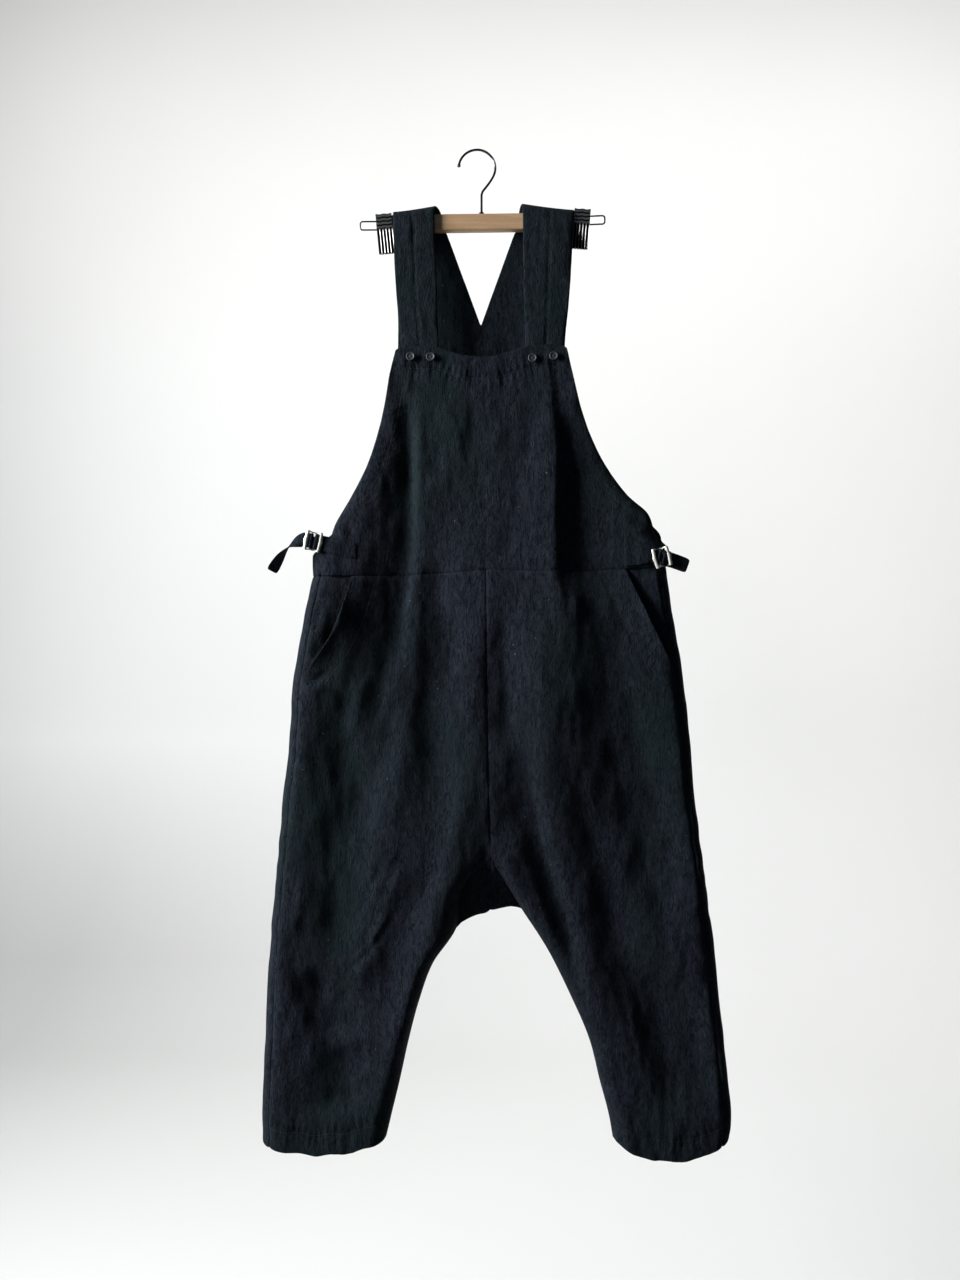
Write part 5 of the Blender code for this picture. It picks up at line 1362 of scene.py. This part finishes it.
def lay_stitches():
    """Rows of thread, each stitch lying on the finished cloth under it."""
    graph = bpy.context.evaluated_depsgraph_get()
    cloths = [obj for obj in bpy.data.objects if obj.name.endswith("_cloth")]
    trees = [BVHTree.FromObject(obj, graph) for obj in cloths]
    for face in ("front", "back"):
        bm = bmesh.new()
        for row in STITCH_ROWS:
            if row.face == face:
                sew_row(bm, trees, row)
        bmesh.ops.recalc_face_normals(bm, faces=bm.faces[:])
        finished(mesh_object(f"{face}_stitches", bm, THREAD_FINISH), "cloth")


def sew_row(bm, trees, row):
    way = 1.0 if row.face == "front" else -1.0
    run = np.linspace(0.0, row.line.length, len(row.line.points))
    count = int(row.line.length / STITCH_PITCH)
    for i in range(count):
        ends = []
        for along in (i * STITCH_PITCH, i * STITCH_PITCH + STITCH_LENGTH):
            x, z = (np.interp(along, run, row.line.points[:, k]) for k in (0, 1))
            hits = [tree.ray_cast(Vector((x, -way, z)), Vector((0.0, way, 0.0))) for tree in trees]
            hits = [hit for hit in hits if hit[0] is not None]
            if hits:
                ends.append(min(hits, key=lambda hit: hit[3]))
        if len(ends) == 2 and abs(ends[0][0].y - ends[1][0].y) < STITCH_LENGTH:
            add_stitch(bm, ends)


def add_stitch(bm, ends):
    (start, normal, _, _), (end, second, _, _) = ends
    out = (normal + second).normalized()
    along = (end - start).normalized()
    side = along.cross(out).normalized()
    rings = []
    for share, fullness in THREAD_SHARES:
        middle = start.lerp(end, share) + out * (THREAD_RADIUS * (1.3 * fullness - 0.5))
        ring = []
        for angle in np.linspace(0.0, 2 * math.pi, THREAD_SIDES, endpoint=False):
            spoke = side * math.cos(angle) + out * math.sin(angle)
            ring.append(bm.verts.new(middle + spoke * (THREAD_RADIUS * fullness)))
        rings.append(ring)
    for first, second in zip(rings, rings[1:]):
        for k in range(THREAD_SIDES):
            bm.faces.new((first[k - 1], first[k], second[k], second[k - 1]))
    bm.faces.new(rings[0])
    bm.faces.new(rings[-1][::-1])


# ---------------------------------------------------------------- buttons
# From the back of a button round its rim to its middle: share of its radius, height.
SNAP_PROFILE = [
    (0.0, 0.0), (0.44, 0.0), (0.46, 0.0009), (0.86, 0.0010), (0.97, 0.0012), (1.00, 0.0018),
    (0.985, 0.0024), (0.93, 0.0028), (0.85, 0.00285), (0.76, 0.0026), (0.66, 0.0022), (0.45, 0.00205),
    (0.28, 0.0022), (0.12, 0.0024), (0.0, 0.00245),
]


def make_snaps():
    for number, (x, z) in enumerate(BUTTON_PLACES, 1):
        bm = bmesh.new()
        points = [bm.verts.new((r * BUTTON_RADIUS, -h, 0.0)) for r, h in SNAP_PROFILE]
        edges = [bm.edges.new(pair) for pair in zip(points, points[1:])]
        full = {"angle": 2 * math.pi, "steps": 48, "use_merge": True}
        bmesh.ops.spin(bm, geom=points + edges, cent=(0, 0, 0), axis=(0, 1, 0), **full)
        bmesh.ops.remove_doubles(bm, verts=bm.verts, dist=0.00001)
        bmesh.ops.recalc_face_normals(bm, faces=bm.faces[:])
        y = cloth_y("front", x, z, EDGE_ROUND) - 0.0004
        bmesh.ops.translate(bm, verts=bm.verts, vec=(x, y, z))
        finished(mesh_object(f"snap_{number}", bm, SNAP_FINISH, 50), "button", f"button_{number}")


# ---------------------------------------------------------------- hanger
def bar_top(x):
    return BAR_TOP_Z + BAR_SLOPE * x


def wire(name, points, thickness, node):
    curve = bpy.data.curves.new(name, "CURVE")
    curve.dimensions = "3D"
    curve.bevel_depth = thickness / 2
    curve.bevel_resolution = 6
    curve.use_fill_caps = True
    spline = curve.splines.new("POLY")
    spline.points.add(len(points) - 1)
    for spot, point in zip(spline.points, points):
        spot.co = (*point, 1.0)
    curve.materials.append(CHROME_FINISH)
    finished(new_object(name, curve), "hanger_metal", node)


def make_hook():
    radius = HOOK_INSIDE + HOOK_WIRE / 2
    centre_z = HOOK_WIRE / 2 - radius
    angles = np.radians(np.linspace(HOOK_TIP_ANGLE, HOOK_END_ANGLE, 60))
    points = [(HOOK_MIDDLE_X + radius * math.cos(a), 0.0, centre_z + radius * math.sin(a)) for a in angles]
    tip = points[0]
    end_x, _, end_z = points[-1]
    bend = [
        (between(end_x, SHANK_X, t), 0.0, between(end_z, SHANK_TOP_Z, t**0.86))
        for t in (0.17, 0.33, 0.5, 0.66, 0.8, 0.9)
    ]
    shank_end = bar_top(SHANK_X) + 0.0003
    points += bend + [(SHANK_X, 0.0, SHANK_TOP_Z - 0.003), (SHANK_X, 0.0, shank_end)]
    wire("hook_wire", points, HOOK_WIRE, "hanger_hook")
    bm = bmesh.new()
    bmesh.ops.create_uvsphere(bm, u_segments=32, v_segments=16, radius=HOOK_BALL)
    bmesh.ops.translate(bm, verts=bm.verts, vec=tip)
    finished(mesh_object("hook_ball", bm, CHROME_FINISH), "hanger_metal")
    bm = bmesh.new()
    foot, top, height = COLLAR
    bmesh.ops.create_cone(bm, cap_ends=True, segments=40, radius1=foot, radius2=top, depth=height)
    bmesh.ops.translate(bm, verts=bm.verts, vec=(SHANK_X, 0.0, bar_top(SHANK_X) + COLLAR_MIDDLE))
    rim = [edge for edge in bm.edges if edge.calc_face_angle(0.0) > 0.6]
    bmesh.ops.bevel(bm, geom=rim, offset=0.0005, segments=3, profile=0.5, affect="EDGES", material=-1)
    finished(mesh_object("hook_collar", bm, CHROME_FINISH, 35), "hanger_metal")


def make_rails():
    for side, rail in RAILS.items():
        sign = -1.0 if side == "left" else 1.0
        root = BAR_MIDDLE_X + sign * (BAR_LENGTH / 2 + 0.0002)
        half = (rail.end_upper_z - rail.end_lower_z) / 2
        middle_z = (rail.end_upper_z + rail.end_lower_z) / 2
        stop = rail.end_x - sign * RAIL_WIRE / 2
        points = [(root, 0.0, rail.root_upper_z)]
        for turn, spot in ((90, half - RAIL_CORNER), (0, -half + RAIL_CORNER)):
            for angle in np.linspace(turn, turn - 90, 9):
                a = math.radians(angle)
                x = stop - sign * RAIL_CORNER + sign * RAIL_CORNER * math.cos(a)
                points.append((x, 0.0, middle_z + spot + RAIL_CORNER * math.sin(a)))
        points.append((root, 0.0, rail.root_lower_z))
        wire(f"rail_wire_{side}", points, RAIL_WIRE, f"hanger_rail_{side}")


CLIP_DEPTH = 0.0085
CLIP_FLUTES = 5
CLIP_RIBS = 4
CLIP_SPOTS = 41  # outlines across a clip
CLIP_ABOVE_RAIL = 0.0088
CLIP_FLUTE = 0.0011  # depth of the flutes below the ribs
CLIP_WAVE = 0.0004  # how far the ribs wave up and down


def clip_outline():
    """(y, z) of one half of the clip, from its top down: rolled ribs above, a taper below."""
    points = [(0.30 * CLIP_DEPTH, 0.0), (0.62 * CLIP_DEPTH, -0.0006)]
    step = 0.38 * CLIP_HEIGHT / CLIP_RIBS
    for i in range(CLIP_RIBS):
        for angle in np.radians(np.linspace(-70, 70, 7)):
            z = -0.002 - (i + 0.5) * step - 0.5 * step * math.sin(angle) / math.sin(math.radians(70))
            points.append((CLIP_DEPTH * (0.80 + 0.20 * math.cos(angle)), z))
    for share, reach in ((0.42, 0.84), (0.50, 0.78), (0.60, 0.66), (0.72, 0.50), (0.86, 0.36), (0.97, 0.26)):
        points.append((reach * CLIP_DEPTH, -share * CLIP_HEIGHT))
    points.append((0.20 * CLIP_DEPTH, -CLIP_HEIGHT))
    return points


def make_clips():
    half = clip_outline()
    outline = half + [(-y, z) for y, z in reversed(half)]
    for side, clip in CLIPS.items():
        rail = RAILS[side]
        upper = between(rail.root_upper_z, rail.end_upper_z, 0.25)
        bm = bmesh.new()
        crest = bm.verts.layers.float.new("crest")
        loops = []
        for x in np.linspace(-0.5, 0.5, CLIP_SPOTS):
            loop = []
            for y, z in outline:
                lower = ramp(-z, 0.40 * CLIP_HEIGHT, 0.44 * CLIP_HEIGHT)
                flute = -CLIP_FLUTE * float(lower) * math.cos(2 * math.pi * CLIP_FLUTES * x)
                flute *= math.copysign(1, y)
                wave = CLIP_WAVE * (1 - float(lower)) * math.cos(2 * math.pi * 2.0 * x)
                vert = bm.verts.new((x * CLIP_WIDTH, y + flute, z + wave))
                # Painted highlight: the crest attribute marks where the clip is painted lighter, on the
                # rolls of the ribs and the crests of the flutes; elsewhere it is painted near-black shade.
                rib_crest_highlight = ramp(abs(y), 0.955 * CLIP_DEPTH, 0.995 * CLIP_DEPTH) * (1 - float(lower))
                flute_crest_highlight = ramp(-math.cos(2 * math.pi * CLIP_FLUTES * x), 0.35, 0.95) * float(lower)
                vert[crest] = float(rib_crest_highlight + flute_crest_highlight)
                loop.append(vert)
            loops.append(loop)
        for a, b in zip(loops, loops[1:]):
            for i in range(len(a)):
                bm.faces.new((a[i - 1], a[i], b[i], b[i - 1]))
        bm.faces.new(loops[0])
        bm.faces.new(loops[-1][::-1])
        bmesh.ops.recalc_face_normals(bm, faces=bm.faces[:])
        bmesh.ops.rotate(bm, verts=bm.verts, cent=(0, 0, 0), matrix=rotation(math.radians(clip.lean), "Y"))
        bmesh.ops.translate(bm, verts=bm.verts, vec=(clip.x, 0.0, upper + CLIP_ABOVE_RAIL))
        finished(mesh_object(f"clip_{side}", bm, CLIP_FINISH, 32), "hanger_metal", f"hanger_clip_{side}")


def dress_bar():
    bar = bpy.data.objects["hanger_bar"]
    for slot in bar.material_slots:
        slot.material = WOOD_FINISH


# ---------------------------------------------------------------- studio
CAMERA_PLACE = (0.0, -1.288, -0.6554)
CAMERA_LENS = 27.03
FLOOR_Z = -2.05
WALL_Y = 3.0
SWEEP_RADIUS = 1.1


def make_sweep():
    """A pale floor that turns up into a backdrop."""
    bm = bmesh.new()
    profile = [(-4.0, FLOOR_Z)]
    for angle in np.radians(np.linspace(-90, 0, 17)):
        y = WALL_Y - SWEEP_RADIUS + SWEEP_RADIUS * math.cos(angle)
        profile.append((y, FLOOR_Z + SWEEP_RADIUS + SWEEP_RADIUS * math.sin(angle)))
    profile.append((WALL_Y, 3.0))
    points = [bm.verts.new((-5.0, y, z)) for y, z in profile]
    edges = [bm.edges.new(pair) for pair in zip(points, points[1:])]
    made = bmesh.ops.extrude_edge_only(bm, edges=edges)
    moved = [item for item in made["geom"] if isinstance(item, bmesh.types.BMVert)]
    bmesh.ops.translate(bm, verts=moved, vec=(10.0, 0.0, 0.0))
    bmesh.ops.recalc_face_normals(bm, faces=bm.faces[:])
    mesh_object("studio_sweep", bm, PAPER_FINISH)


def add_light(name, place, aim, size, power, colour):
    light = bpy.data.lights.new(name, "AREA")
    light.shape = "RECTANGLE"
    light.size, light.size_y = size
    light.energy = power
    light.color = colour
    obj = new_object(name, light)
    obj.location = place
    obj.rotation_euler = (Vector(aim) - Vector(place)).to_track_quat("-Z", "Y").to_euler()


def light_the_scene():
    world = bpy.data.worlds.new("studio_air")
    bpy.context.scene.world = world
    world.use_nodes = True
    air = world.node_tree.nodes["Background"]
    air.inputs["Color"].default_value = (0.50, 0.76, 1.0, 1.0)
    air.inputs["Strength"].default_value = 0.06
    add_light("window", (-2.35, -0.65, 0.20), (0.0, 0.0, -0.75), (0.7, 1.3), 190.0, (0.98, 0.99, 1.0))
    wash = (1.0, 0.985, 0.96)
    add_light("wall_wash", (0.6, 1.0, 2.1), (0.2, WALL_Y, 0.0), (5.6, 0.5), 68.0, wash)
    add_light("right_wash", (2.4, 1.3, -0.5), (1.7, WALL_Y, -0.7), (0.6, 1.6), 10.0, wash)
    add_light("top_wash", (-2.4, 1.3, 1.7), (-1.7, WALL_Y, 1.7), (0.6, 0.6), 9.0, wash)


def make_camera():
    lens = bpy.data.cameras.new("camera")
    lens.lens = CAMERA_LENS
    lens.sensor_width = 36.0
    lens.sensor_fit = "AUTO"
    lens.clip_start, lens.clip_end = 0.05, 30.0
    camera = new_object("camera", lens)
    camera.location = CAMERA_PLACE
    camera.rotation_euler = (math.radians(90.0), 0.0, 0.0)
    bpy.context.scene.camera = camera
    bpy.context.scene.view_settings.view_transform = "Standard"


def main():
    make_camera()
    light_the_scene()
    make_sweep()
    lay_seams()
    make_panels()
    make_straps()
    make_adjusters()
    lay_stitches()
    make_snaps()
    make_hook()
    make_rails()
    make_clips()
    dress_bar()


main()
